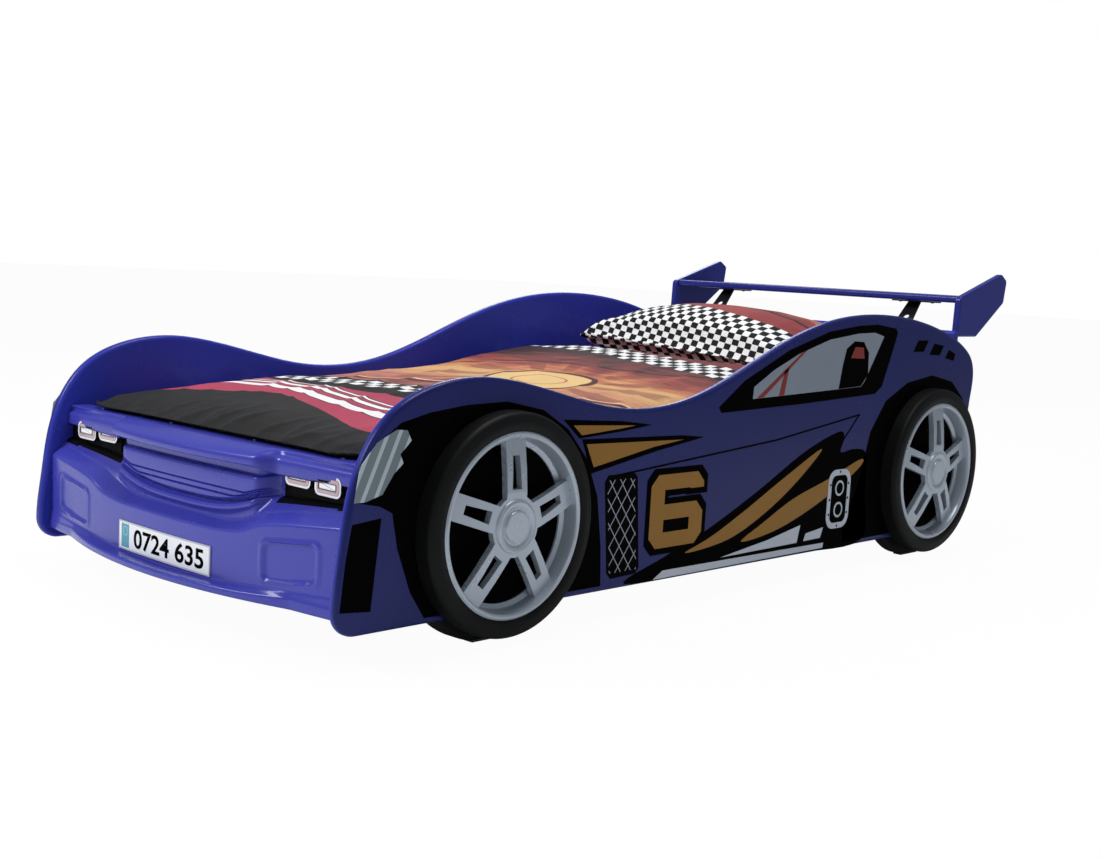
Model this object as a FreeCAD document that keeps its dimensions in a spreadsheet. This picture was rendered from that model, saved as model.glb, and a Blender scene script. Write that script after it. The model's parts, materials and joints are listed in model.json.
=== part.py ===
import FreeCAD, Part
import math
import os
import re
from types import SimpleNamespace

# A single bed for a child in the shape of a racing car.
# Frame: X across, the nose faces -Y, +Z up, origin on the floor under the middle of the bed.
# All sizes are in millimetres. "Left" is the car's own left, the +X side.

Vec = FreeCAD.Vector
os.makedirs("parts", exist_ok=True)
doc = FreeCAD.newDocument("car_bed")

# ---------------------------------------------------------------- driving dimensions
DRIVING = {
    # painted boards and the box that they make
    "board": (22, "thickness of the painted boards"),
    "innerHalf": (489, "half the clear width between the side panels"),
    "panelFoot": (58, "height of the side panels' bottom edge"),
    "edgeRound": (8, "rounding of the painted edges"),
    "frontBoardY": (-1042, "front face of the front board"),
    "frontBoardTop": (335, "top edge of the front board"),
    "rearBoardY": (891, "front face of the rear board"),
    "rearBoardTop": (570, "top edge of the rear board"),
    "boardFoot": (66, "bottom edge of the front and rear boards"),
    # wheels
    "wheelRise": (221, "height of the wheel centres"),
    "frontAxle": (-750, "front wheel centre along the bed"),
    "rearAxle": (757, "rear wheel centre along the bed"),
    "tyreRound": (208, "tyre cover, outer radius"),
    "rimRound": (171.8, "rim, outer radius"),
    "rimSeat": (172, "radius of the tyre cover's opening"),
    "wheelDeep": (38, "how far a wheel cover stands off the panel"),
    "spokeCount": (5, "spokes in a rim"),
    "spokeWide": (50, "width of a spoke"),
    "footRound": (221, "radius of a support foot"),
    "footTop": (144, "flat top of a support foot"),
    "glide": (4, "thickness of a floor glide"),
    "glideLong": (78, "length of a floor glide"),
    # slatted base
    "railHigh": (60, "height of the timber rails"),
    "slatThick": (18, "thickness of a slat"),
    "slatWide": (68, "width of a slat"),
    "slatCount": (14, "number of slats"),
    "slatFirst": (-955, "centre line of the first slat"),
    "slatLast": (830, "centre line of the last slat"),
    "strap": (1.2, "thickness of the webbing that spaces the slats"),
    "legWide": (44, "side of a centre leg"),
    # mattress
    "mattressWide": (900, "mattress width"),
    "mattressLong": (1900, "mattress length"),
    "mattressHigh": (119.5, "mattress height"),
    "mattressY": (-1016.5, "foot end of the mattress"),
    # spoiler
    "bladeY": (938, "front edge of the spoiler blade"),
    "bladeZ": (641, "underside of the spoiler blade"),
    "bladeDeep": (176, "spoiler blade, front to back"),
    "bladeThick": (18, "thickness of the spoiler's boards"),
    "plateOut": (479, "outer face of a spoiler end plate"),
    "strutX": (311, "distance of a strut from the middle"),
    "steel": (4, "thickness of the strut steel"),
    # bumper
    "shell": (6, "wall of the moulded bumper"),
    "lipTop": (342, "top of the bumper lip"),
    "noseY": (-1175, "foremost point of the bumper"),
    "skirtZ": (81, "bottom of the bumper skirt"),
    "signWide": (312, "number plate width"),
    "signHigh": (56, "number plate height"),
    "signLow": (100, "bottom of the number plate"),
}

sheet = doc.addObject("Spreadsheet::Sheet", "sizes")
for row, (alias, (value, note)) in enumerate(DRIVING.items(), start=1):
    sheet.set(f"A{row}", alias)
    sheet.set(f"B{row}", str(value))
    sheet.setAlias(f"B{row}", alias)
    sheet.set(f"C{row}", note)
doc.recompute()
s = SimpleNamespace(**{alias: float(getattr(sheet, alias)) for alias in DRIVING})

nodes = {}
SIDES = {"left": 1, "right": -1}
AXLES = {"front": "frontAxle", "rear": "rearAxle"}


# ---------------------------------------------------------------- helpers
def bind(thing, **rules):
    # Length="2*innerHalf" binds that property to the sheet's cells
    for name, words in rules.items():
        path = name.replace("__", ".")
        thing.setExpression(path, re.sub(r"[A-Za-z]\w*", lambda w: "sizes." + w.group(0), words))


def keep(label, thing):
    thing.Label = label
    nodes[label] = thing
    return thing


def block(name, x, y, z, dx, dy, dz):
    box = doc.addObject("Part::Box", name)
    bind(box, Length=dx, Width=dy, Height=dz)
    bind(box, Placement__Base__x=x, Placement__Base__y=y, Placement__Base__z=z)
    return box


def rounded(name, base, radius, axis):
    # rounds the edges of a block that run along the axis
    doc.recompute()
    edges = list(enumerate(base.Shape.Edges, start=1))
    soft = doc.addObject("Part::Fillet", name)
    soft.Base = base
    soft.Edges = [(i, radius, radius) for i, e in edges if abs(e.tangentAt(0).dot(axis)) > 0.999]
    return soft


def rod(name, start, way, radius, length):
    pin = doc.addObject("Part::Cylinder", name)
    pin.Radius = radius
    pin.Height = length
    pin.Placement = FreeCAD.Placement(start, FreeCAD.Rotation(Vec(0, 0, 1), way))
    return pin


def screw(name, start, way, length, shank=2.5, head=5.0, headHigh=2.5):
    # the underside of the head is at the start, and the shank runs along the way
    whole = doc.addObject("Part::Fuse", name)
    whole.Base = rod(name + "_head", start - way * headHigh, way, head, headHigh)
    whole.Tool = rod(name + "_shank", start, way, shank, length)
    return whole


def group(name, parts):
    many = doc.addObject("Part::Compound", name)
    many.Links = parts
    return many


def drilled(name, base, tool):
    # leaves the holes that the fasteners sit in
    cut = doc.addObject("Part::Cut", name)
    cut.Base = base
    cut.Tool = tool
    return cut


def planeOf(body, role):
    return next(f for f in body.Origin.OriginFeatures if f.Role == role)


def sketchOn(body, role, name):
    sketch = body.newObject("Sketcher::SketchObject", name)
    sketch.AttachmentSupport = [(planeOf(body, role), "")]
    sketch.MapMode = "FlatFace"
    return sketch


def line(a, b):
    return Part.LineSegment(Vec(*a, 0), Vec(*b, 0))


def arc(a, b, c):
    return Part.Arc(Vec(*a, 0), Vec(*b, 0), Vec(*c, 0))


def closed(corners):
    return [line(a, b) for a, b in zip(corners, corners[1:] + corners[:1])]


def draw(sketch, edges):
    for edge in edges:
        sketch.addGeometry(edge, False)


def padded(body, name, role, edges, **rules):
    # one flat outline pushed up from a plane of the body
    sketch = sketchOn(body, role, name + "_outline")
    draw(sketch, edges)
    pad = body.newObject("PartDesign::Pad", name + "_pad")
    pad.Profile = sketch
    bind(pad, **rules)
    doc.recompute()
    return pad


def turned(body, name, edges):
    # a profile in radius and height, turned about the body's own upright axis
    sketch = sketchOn(body, "XZ_Plane", name + "_profile")
    draw(sketch, edges)
    round_ = body.newObject("PartDesign::Revolution", name)
    round_.Profile = sketch
    round_.ReferenceAxis = (sketch, ["V_Axis"])
    round_.Angle = 360
    doc.recompute()
    return round_


def softened(body, name, base, radius, axis):
    # rounds every edge of the base that lies square to the axis
    box = {"x": "XLength", "y": "YLength", "z": "ZLength"}[axis]
    edges = enumerate(base.Shape.Edges, start=1)
    flat = [f"Edge{i}" for i, e in edges if getattr(e.BoundBox, box) < 1e-6]
    soft = body.newObject("PartDesign::Fillet", name)
    soft.Base = (base, flat)
    bind(soft, Radius=radius)
    doc.recompute()
    return soft


def newBody(label):
    return doc.addObject("PartDesign::Body", label + "_body")


def solidOf(name, shape):
    thing = doc.addObject("Part::Feature", name)
    thing.Shape = shape
    return thing


def ramp(value, low, high):
    t = min(max((value - low) / (high - low), 0), 1)
    return t * t * (3 - 2 * t)


def mix(a, b, share):
    return a + (b - a) * share


# ---------------------------------------------------------------- side panels
# The outline runs up the front edge, over the front wing, down to the sill dip, over the
# cabin and down the tail. Each pair is a place along the bed and a height.
PANEL_TOP = [
    (-1126, 103), (-1117, 190), (-1099, 300), (-1068, 375), (-1021, 430), (-960, 464), (-880, 484),
    (-800, 488), (-700, 475), (-590, 450), (-473, 425), (-343, 416), (-224, 429), (-127, 455),
    (10, 506), (152, 558), (305, 595), (476, 609.5), (657, 599), (829, 564), (925, 526), (965, 492),
    (977, 450), (970, 391), (960, 260), (950, 110),
]
PANEL_TOE = 45  # radius of the front bottom corner
PANEL_HEEL = 24  # radius of the rear bottom corner
DIAGONAL = math.sqrt(0.5)


def panelEdges():
    foot = s.panelFoot
    front, rear = PANEL_TOP[0], PANEL_TOP[-1]
    heelY = rear[0]
    top = Part.BSplineCurve()
    top.interpolate(
        [Vec(y, z, 0) for y, z in PANEL_TOP],
        InitialTangent=Vec(0, 1, 0),
        FinalTangent=Vec(0, -1, 0),
    )
    heel = [
        (heelY, foot + PANEL_HEEL),
        (heelY - PANEL_HEEL * (1 - DIAGONAL), foot + PANEL_HEEL * (1 - DIAGONAL)),
        (heelY - PANEL_HEEL, foot),
    ]
    toe = [
        (front[0] + PANEL_TOE, foot),
        (front[0] + PANEL_TOE * (1 - DIAGONAL), foot + PANEL_TOE * (1 - DIAGONAL)),
        front,
    ]
    return [top, line(rear, heel[0]), arc(*heel), line(heel[2], toe[0]), arc(*toe)]


def sidePanel(label, inward):
    body = newBody(label)
    pad = padded(body, label, "YZ_Plane", panelEdges(), Length="board")
    softened(body, label + "_round", pad, "edgeRound", "x")
    bind(body, Placement__Base__x=inward)
    return body


# ---------------------------------------------------------------- wheels
RIM_RING = [
    (171.8, 1), (171.8, 35.4), (168.5, 38), (164.5, 38), (161.5, 35.5), (160, 30.5),
    (155.5, 9), (147, 5), (147, 1),
]
SPOKE_SIDE = [(40, 24), (40, 36), (62, 36), (104, 32), (158.5, 24), (158.5, 11), (100, 19)]
SLOT_REACH = (67, 128)  # from the wheel's axis
SLOT_HALF = (12, 8.5)  # half its width at the hub end and at the rim end
HUB_PLATE = [(0, 24), (57, 24), (57, 36), (0, 36)]
HUB_CAP = [
    (0, 36), (50, 36), (48.5, 39), (44, 41.4), (39, 40.6), (34.5, 38.2), (30.5, 38.2), (28.5, 42),
    (26.5, 43), (0, 43),
]


def wheelPlace(body, side, axle):
    # a wheel piece is drawn with its axis up and its back at height 0
    spin = FreeCAD.Rotation(Vec(0, 0, 1), 90 + 90 * SIDES[side])
    tip = FreeCAD.Rotation(Vec(0, 1, 0), 90 * SIDES[side])
    body.Placement = FreeCAD.Placement(Vec(0, 0, 0), tip.multiply(spin))
    outward = {"left": "innerHalf + board", "right": "-innerHalf - board"}[side]
    bind(body, Placement__Base__x=outward, Placement__Base__y=axle, Placement__Base__z="wheelRise")
    return body


def tyreCover(label):
    body = newBody(label)
    seat, out, deep = s.rimSeat, s.tyreRound, s.wheelDeep
    shoulder = [(out - 1, deep - 14), (out - 4.5, deep - 3.5), (out - 14, deep)]
    wall = [shoulder[2], (out - 24, deep + 0.8), (seat, deep - 3)]
    turned(body, label + "_turned", [
        line((seat, 0), (out, 0)),
        line((out, 0), shoulder[0]),
        arc(*shoulder),
        arc(*wall),
        line(wall[2], (seat, 0)),
    ])
    return body


def aroundHub(body, name, feature):
    pattern = body.newObject("PartDesign::PolarPattern", name)
    pattern.Originals = [feature]
    pattern.Axis = (planeOf(body, "Z_Axis"), [""])
    pattern.Angle = 360
    bind(pattern, Occurrences="spokeCount")
    body.Tip = pattern
    doc.recompute()


def rim(label):
    body = newBody(label)
    turned(body, label + "_ring", closed(RIM_RING))
    spoke = padded(body, label + "_spoke", "XZ_Plane", closed(SPOKE_SIDE), Length="spokeWide")
    spoke.SideType = "Symmetric"
    doc.recompute()
    aroundHub(body, label + "_spokes", spoke)
    hub = turned(body, label + "_hub", closed(HUB_PLATE))
    body.Tip = hub
    window = sketchOn(body, "XY_Plane", label + "_slot_outline")
    near, far = SLOT_REACH
    wide, narrow = SLOT_HALF
    draw(window, closed([(near, -wide), (far, -narrow), (far, narrow), (near, wide)]))
    slot = body.newObject("PartDesign::Pocket", label + "_slot")
    slot.Profile = window
    slot.Reversed = True
    bind(slot, Length="2*wheelDeep")
    doc.recompute()
    aroundHub(body, label + "_slots", slot)
    return body


def hubCap(label):
    body = newBody(label)
    turned(body, label + "_turned", closed(HUB_CAP))
    return body


def supportFoot(label, side, axle):
    # a disc of board, cut flat on top and underneath, and cut off short of the rear board
    body = newBody(label)
    low = s.glide - s.wheelRise
    high = s.footTop - s.wheelRise
    rearmost = s.rearBoardY - 3 - getattr(s, axle)
    reach = math.sqrt(s.footRound**2 - high**2)
    flat = math.sqrt(s.footRound**2 - low**2)
    belly = -math.sqrt(s.footRound**2 / 2)
    edges = [arc((-reach, high), (belly, belly), (-flat, low)), line((-flat, low), (flat, low))]
    if rearmost > reach:
        edges += [arc((flat, low), (-belly, belly), (reach, high))]
        last = (reach, high)
    else:
        drop = -math.sqrt(s.footRound**2 - rearmost**2)
        knee = (flat + rearmost) / 2
        edges += [arc((flat, low), (knee, -math.sqrt(s.footRound**2 - knee**2)), (rearmost, drop))]
        edges += [line((rearmost, drop), (rearmost, high))]
        last = (rearmost, high)
    edges += [line(last, (-reach, high))]
    padded(body, label, "YZ_Plane", edges, Length="board")
    inward = {"left": "innerHalf - board", "right": "-innerHalf"}[side]
    bind(body, Placement__Base__x=inward, Placement__Base__y=axle, Placement__Base__z="wheelRise")
    doc.recompute()
    return body


# ---------------------------------------------------------------- bumper
# The moulded shell is bowed in plan: a front point runs back with the square of its distance
# from the middle. Its cross-section changes from the mouth in the middle to the lamps.
LIP_MID = (240, 268)  # the raised middle of the lip ends between these distances
MOUTH = (228, 246)  # the mouth closes between these
MOUTH_TOP = 290
MOUTH_FLOOR = (231.5, 30)  # lower edge of the mouth in the middle, and its rise at the corners
MOUTH_WALL = (-1086, 100)  # as for a bow: place in the middle, and how far it runs back at 1 m
SLAT_STEPS = ((256, 8), (245, 4))  # heights of the two steps, and their least height over the floor
LAMP_WALL = -1051
LAMP_TOP = 302
LAMP_FLOOR = 266
FACE = (-1135, 150)
# heights along the bumper, each as pairs of a distance from the middle and a height
BEVEL_TOP = ((0, 198.5), (150, 198.5), (200, 206), (250, 225), (300, 238), (370, 247), (487, 259))
BEVEL_FOOT = ((0, 190), (160, 190.5), (220, 196), (245, 200), (290, 219), (360, 229), (487, 240))
LEDGE = ((0, 92), (180, 96), (295, 106), (487, 118))
STATIONS = [0, 75, 145, 200, 228, 240, 254, 268, 288, 345, 400, 487]


def bow(x, middle, rise):
    return middle + rise * (x / 1000) ** 2


def heightAt(x, pairs):
    for (x0, z0), (x1, z1) in zip(pairs, pairs[1:]):
        if x <= x1:
            return mix(z0, z1, (x - x0) / (x1 - x0))
    return pairs[-1][1]


def bumperSection(x):
    middle = 1 - ramp(x, *LIP_MID)
    mouth = 1 - ramp(x, *MOUTH)
    top, under = s.lipTop, s.lipTop - s.shell - 0.5
    backY = s.frontBoardY + s.board
    wall = mix(LAMP_WALL, bow(x, *MOUTH_WALL), mouth)
    slat = mix(LAMP_WALL, bow(x, -1093, 100), mouth)
    ceiling = mix(LAMP_TOP - 1, MOUTH_TOP, mouth)
    floor = mix(LAMP_FLOOR, MOUTH_FLOOR[0] + MOUTH_FLOOR[1] * (x / 235) ** 3, mouth)
    lip = mix(bow(x, -1078, 60), bow(x, -1122, 300), middle)
    face = bow(x, *FACE)
    nose = min(bow(x, s.noseY, 410), face - 4)
    bevelY, bevelZ = bow(x, -1096, 100), heightAt(x, BEVEL_TOP)
    foot, ledge = heightAt(x, BEVEL_FOOT), heightAt(x, LEDGE)
    skirtTop = 96 + 5 * ramp(x, 220, 370)
    points = [
        (backY, top),
        (-1062, top),
        (mix(-1072, bow(x, -1105, 150), middle), mix(331, 333, middle)),
        (lip, mix(305, 312, middle)),
        (lip + 6, mix(302.5, 309, middle)),
        (wall, mix(LAMP_TOP, 306, mouth)),
        (wall, ceiling),
        (slat, ceiling - 2.5),
    ]
    for height, least in SLAT_STEPS:
        step = max(height, floor + least)
        points += [(slat, step + 1.2), (mix(slat, wall, 0.5), step), (slat, step - 1.2)]
    points += [
        (slat, floor + 1),
        (mix(LAMP_WALL - 2, bow(x, -1083, 100), mouth), floor - 1.2),
        (mix(LAMP_WALL - 4, bow(x, -1083, 100), mouth), mix(264.3, floor - 8.5, mouth)),
        (mix(LAMP_WALL - 7, bow(x, -1099, 100), mouth), mix(263.5, floor - 10, mouth)),
        (mix(LAMP_WALL - 11, bow(x, -1100, 100), mouth), mix(262, floor - 21, mouth)),
        (bevelY, bevelZ),
        (face, foot),
        (face, ledge),
        (nose + 1, skirtTop),
        (nose, s.skirtZ),
        (nose + s.shell, s.skirtZ),
        (nose + s.shell + 1, skirtTop - 5.5),
        (face + s.shell, ledge - 5),
        (face + s.shell, foot - 6),
        (bevelY + s.shell, bevelZ - 6),
        (mix(-1058, bow(x, -1092, 100), mouth), mix(252, floor - 17.5, mouth)),
        (mix(LAMP_WALL + s.shell, bow(x, -1077, 100), mouth), mix(258, floor - 12.5, mouth)),
        (mix(LAMP_WALL, bow(x, *MOUTH_WALL), mouth) + s.shell, mix(308, 314.5, middle)),
        (lip + 7.5, mix(308.5, 317, middle)),
        (mix(-1066, bow(x, -1099, 150), middle), mix(326, 328, middle)),
        (-1059, under),
        (backY, under),
    ]
    return points


def bumperShell():
    places = [-x for x in STATIONS[:0:-1]] + STATIONS
    wires = []
    for x in places:
        ring = [Vec(x, y, z) for y, z in bumperSection(abs(x))]
        wires.append(Part.makePolygon(ring + ring[:1]))
    return Part.makeLoft(wires, True, True)


def bowedPlate(low, high, half, middle, rise, thick):
    # a thin plate that follows the bumper's bow, between two heights
    edges = []
    for shift, way in ((0, 1), (thick, -1)):
        ends = [(-half * way, bow(half, middle + shift, rise)), (half * way, bow(half, middle + shift, rise))]
        edges.append(Part.Arc(Vec(*ends[0], low), Vec(0, middle + shift, low), Vec(*ends[1], low)).toShape())
    sides = [
        Part.LineSegment(edges[0].Vertexes[1].Point, edges[1].Vertexes[0].Point).toShape(),
        Part.LineSegment(edges[1].Vertexes[1].Point, edges[0].Vertexes[0].Point).toShape(),
    ]
    face = Part.Face(Part.Wire([edges[0], sides[0], edges[1], sides[1]]))
    return face.extrude(Vec(0, 0, high - low))


LAMPS = (340, 430)  # distance of the two lamps from the middle
LAMP_WIDE = 72
LAMP_HIGH = 32


def lampLens(label, centre):
    # a rounded oblong block
    body = newBody(label)
    half, up = LAMP_WIDE / 2, LAMP_HIGH / 2
    corner = 11
    run = corner * (1 - DIAGONAL)
    edges = []
    for sx, sz, across in ((1, 1, False), (-1, 1, True), (-1, -1, False), (1, -1, True)):
        a, b = (sx * half, sz * (up - corner)), (sx * (half - corner), sz * up)
        mid = (sx * (half - run), sz * (up - run))
        edges.append(arc(b, mid, a) if across else arc(a, mid, b))
    edges += [line((-half + corner, up), (half - corner, up))]
    edges += [line((-half + corner, -up), (half - corner, -up))]
    edges += [line((half, -up + corner), (half, up - corner))]
    edges += [line((-half, -up + corner), (-half, up - corner))]
    pad = padded(body, label, "XZ_Plane", edges)
    pad.Length = 5
    body.Placement.Base = centre
    return body


# ---------------------------------------------------------------- spoiler
END_PLATE = [(927, 554), (930, 656), (1146, 722), (1176, 705), (1167, 645), (1030, 554)]
STRUT_FOOT = 498
STRUT_LINE = [(915, 554.3), (994, 639)]  # the leaning part: a place along the bed and a height


def endPlate(label, inward):
    body = newBody(label)
    pad = padded(body, label, "YZ_Plane", closed(END_PLATE), Length="bladeThick")
    corners = enumerate(pad.Shape.Edges, start=1)
    upright = [f"Edge{i}" for i, e in corners if e.BoundBox.XLength > 1]
    soft = body.newObject("PartDesign::Fillet", label + "_corners")
    soft.Base = (pad, upright)
    soft.Radius = 12
    doc.recompute()
    softened(body, label + "_round", soft, "steel", "x")
    bind(body, Placement__Base__x=inward)
    return body


def strut(label, x):
    # a bent steel plate: screwed to the back of the rear board, leaning back, and wide under
    # the blade
    (y0, z0), (y1, z1) = STRUT_LINE
    t = s.steel
    lean = math.hypot(y1 - y0, z1 - z0)
    along = Vec(0, (y1 - y0) / lean, (z1 - z0) / lean)
    out = Vec(0, -along.z, along.y)
    foot = Part.makeBox(56, t, z0 - STRUT_FOOT + 2, Vec(x - 28, s.rearBoardY + s.board, STRUT_FOOT))
    base = Vec(x, y0, z0) - out * (t / 2)
    ring = [base + Vec(-27, 0, 0), base + Vec(27, 0, 0)]
    head = base + along * lean
    ring += [head + Vec(18, 0, 0), head + Vec(-18, 0, 0)]
    web = Part.Face(Part.makePolygon(ring + ring[:1])).extrude(out * t)
    flange = Part.makeBox(126, 40, t, Vec(x - 63, y1 - 14, s.bladeZ - t))
    hole = Part.makeCylinder(8, 4 * t, base + along * (lean * 0.5) - out * t, out)
    limit = Part.makeBox(200, 260, s.bladeZ - STRUT_FOOT, Vec(x - 100, y0 - 100, STRUT_FOOT))
    return foot.fuse([web, flange]).cut(hole).common(limit).removeSplitter()


# ---------------------------------------------------------------- soft pieces
# The height of the duvet's side edge along the bed, from the foot to the head. It dips where
# the pillow lies in it.
DUVET_EDGE = [
    (-1066, 351), (-1060, 355), (-1048, 358), (-1030, 360), (-1005, 362), (-966, 367), (-930, 370),
    (-780, 381), (-560, 393), (-300, 402), (-90, 417), (110, 445), (240, 461), (300, 463),
    (345, 454), (400, 436), (460, 428), (800, 426), (838, 414), (850, 396),
]
DUVET_LOW = 344.5
DUVET_HALF = 474
DUVET_CROWN = 13
DUVET_CORNER = 100
PILLOW = SimpleNamespace(half=405, deep=232, up=110, down=37, y=594, z=478.5, turn=-6)
PILLOW_SHARES = [0, 0.3, 0.55, 0.75, 0.88, 0.96, 1.0]


def duvetSection(y, edge):
    # the corners at the foot are rounded, and the head end is drawn in a little
    run = min(y - DUVET_EDGE[0][0] + 1.5, DUVET_CORNER)
    half = DUVET_HALF - DUVET_CORNER + math.sqrt(DUVET_CORNER**2 - (DUVET_CORNER - run) ** 2)
    half -= 12 * (y == DUVET_EDGE[-1][0])
    crown = DUVET_CROWN * ramp(y, -1066, -900) * (1 - 0.4 * ramp(y, 300, 460))
    shoulder = min(24, (edge - DUVET_LOW) * 0.45)
    middle = (edge + DUVET_LOW) / 2
    corners = [Vec(i * (half - shoulder), y, z) for z in (DUVET_LOW, edge) for i in (1, -1)]
    lowLeft, lowRight, topLeft, topRight = corners
    return Part.Wire([
        Part.LineSegment(lowRight, lowLeft).toShape(),
        Part.Arc(lowLeft, Vec(half, y, middle), topLeft).toShape(),
        Part.Arc(topLeft, Vec(0, y, edge + crown + 0.5), topRight).toShape(),
        Part.Arc(topRight, Vec(-half, y, middle), lowRight).toShape(),
    ])


def pillowSection(share):
    # the sides draw in between the corners, and the crown falls to the seam
    p = PILLOW
    deep = p.deep * (0.955 + 0.045 * share**4) - 14 * ramp(abs(share), 0.94, 1.0)
    up = max(p.up * (1 - abs(share) ** 3.2), 4)
    down = max(p.down * (1 - abs(share) ** 4), 4)
    front, back = Vec(p.half * share, -deep, 0), Vec(p.half * share, deep, 0)
    return Part.Wire([
        Part.Arc(front, Vec(front.x, 0, up), back).toShape(),
        Part.Arc(back, Vec(front.x, 0, -down), front).toShape(),
    ])


def mattress():
    body = newBody("mattress")
    half = s.mattressWide / 2
    corners = [(-half, 0), (half, 0), (half, s.mattressLong), (-half, s.mattressLong)]
    pad = padded(body, "mattress", "XY_Plane", closed(corners), Length="mattressHigh")
    upright = [f"Edge{i}" for i, e in enumerate(pad.Shape.Edges, start=1) if e.BoundBox.ZLength > 1]
    soft = body.newObject("PartDesign::Fillet", "mattress_corners")
    soft.Base = (pad, upright)
    soft.Radius = 45
    doc.recompute()
    softened(body, "mattress_round", soft, "edgeRound", "z")
    bind(body, Placement__Base__y="mattressY")
    bind(body, Placement__Base__z="footTop + railHigh + slatThick + strap + 0.3")
    return body


# ---------------------------------------------------------------- fasteners
BOLT_ANGLES = {"front": (15, 165, 215, 325), "rear": (60, 165, 215)}


def wheelBolts(side):
    # through the panel into each tyre cover, and the low ones through the support foot as well
    way = Vec(SIDES[side], 0, 0)
    ring = (s.rimSeat + s.tyreRound) / 2
    bolts = []
    for axleName, axle in AXLES.items():
        for k, degrees in enumerate(BOLT_ANGLES[axleName]):
            angle = math.radians(degrees)
            rise = s.wheelRise + ring * math.sin(angle)
            foot = s.board if rise < s.footTop else 0
            start = Vec(
                SIDES[side] * (s.innerHalf - foot), getattr(s, axle) + ring * math.cos(angle), rise
            )
            name = f"wheel_bolt_{side}_{axleName}_{k}"
            bolts.append(screw(name, start, way, foot + s.board + 12, 3, 7, 3))
    return bolts


def railScrews(side):
    way = Vec(SIDES[side], 0, 0)
    rise = s.footTop + s.railHigh / 2
    places = [-990, -620, -250, 120, 490, 850]
    start = SIDES[side] * (s.innerHalf - s.board)
    return [
        screw(f"rail_screw_{side}_{k}", Vec(start, y, rise), way, s.board + 14)
        for k, y in enumerate(places)
    ]


BRACKET = SimpleNamespace(leg=40, thick=3, low=240, high=60)


def bracketCorners():
    # the inside corner that each bracket sits in, and the way its legs point
    ends = {"front": (s.frontBoardY + s.board, 1), "rear": (s.rearBoardY, -1)}
    for side, sign in SIDES.items():
        for end, (y, inward) in ends.items():
            yield side, sign, end, y, inward


def cornerBracket(sign, y, inward):
    b = BRACKET
    x = sign * s.innerHalf
    onPanel = Part.makeBox(b.thick, b.leg, b.high, Vec(min(x, x - sign * b.thick), min(y, y + inward * b.leg), b.low))
    onBoard = Part.makeBox(b.leg, b.thick, b.high, Vec(min(x, x - sign * b.leg), min(y, y + inward * b.thick), b.low))
    return onPanel.fuse(onBoard).removeSplitter()


def bracketScrews(side, sign, end, y, inward):
    b = BRACKET
    screws = []
    for k, rise in enumerate((b.low + 15, b.low + b.high - 15)):
        sideways = Vec(sign * (s.innerHalf - b.thick), y + inward * 26, rise)
        screws.append(screw(f"bracket_screw_{side}_{end}_panel{k}", sideways, Vec(sign, 0, 0), 15, 2, 4, 2))
        endways = Vec(sign * (s.innerHalf - 26), y + inward * b.thick, rise)
        screws.append(screw(f"bracket_screw_{side}_{end}_board{k}", endways, Vec(0, -inward, 0), 15, 2, 4, 1.8))
    return screws


def spoilerScrews():
    # up through each strut's flange into the blade, and back into the rear board
    screws = []
    (_, _), (y1, _) = STRUT_LINE
    for side, sign in SIDES.items():
        for k, dx in enumerate((-48, 48)):
            start = Vec(sign * s.strutX + dx, y1 + 6, s.bladeZ - s.steel)
            screws.append(screw(f"blade_screw_{side}_{k}", start, Vec(0, 0, 1), s.steel + 12, 2, 4, 2))
        for k, rise in enumerate((STRUT_FOOT + 12, STRUT_FOOT + 32)):
            start = Vec(sign * s.strutX, s.rearBoardY + s.board + s.steel, rise)
            screws.append(screw(f"strut_screw_{side}_{k}", start, Vec(0, -1, 0), s.steel + 15, 2, 4, 1.8))
    return screws


def endPlateDowels():
    # two round dowels join each end plate to the blade
    reach = 13
    dowels = []
    for side, sign in SIDES.items():
        start = sign * (s.plateOut - s.bladeThick - 18)
        for k, y in enumerate((s.bladeY + 38, s.bladeY + s.bladeDeep - 38)):
            at = Vec(start, y, s.bladeZ + s.bladeThick / 2)
            dowels.append(rod(f"spoiler_dowel_{side}_{k}", at, Vec(sign, 0, 0), 4, 18 + reach))
    return dowels


# ---------------------------------------------------------------- the pieces
bolts = {side: wheelBolts(side) for side in SIDES}
railFix = {side: railScrews(side) for side in SIDES}
bracketFix = {(c[0], c[2]): bracketScrews(*c) for c in bracketCorners()}
spoilerFix = spoilerScrews()
dowels = endPlateDowels()
lipFix = [
    screw(f"bumper_screw_{k}", Vec(x, s.frontBoardY + s.board / 2, s.lipTop), Vec(0, 0, -1), 26, 2, 4, 1.6)
    for k, x in enumerate((-400, -140, 140, 400))
]
keep("wheel_bolts", group("wheel_bolts", bolts["left"] + bolts["right"]))
keep("rail_screws", group("rail_screws", railFix["left"] + railFix["right"]))
keep("bracket_screws", group("bracket_screws", [b for fix in bracketFix.values() for b in fix]))
keep("spoiler_screws", group("spoiler_screws", spoilerFix))
keep("spoiler_dowels", group("spoiler_dowels", dowels))
keep("bumper_screws", group("bumper_screws", lipFix))

for side, inward in (("left", "innerHalf"), ("right", "-innerHalf - board")):
    panel = sidePanel(f"side_panel_{side}", inward)
    held = bolts[side] + railFix[side] + bracketFix[side, "front"] + bracketFix[side, "rear"]
    tool = group(f"side_holes_{side}", held)
    keep(f"side_panel_{side}", drilled(f"side_panel_{side}_drilled", panel, tool))

frontBoard = block(
    "front_board_blank", "-innerHalf", "frontBoardY", "boardFoot",
    "2*innerHalf", "board", "frontBoardTop - boardFoot",
)
frontTool = group("front_holes", lipFix + bracketFix["left", "front"] + bracketFix["right", "front"])
keep("front_board", drilled("front_board_drilled", frontBoard, frontTool))

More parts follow.
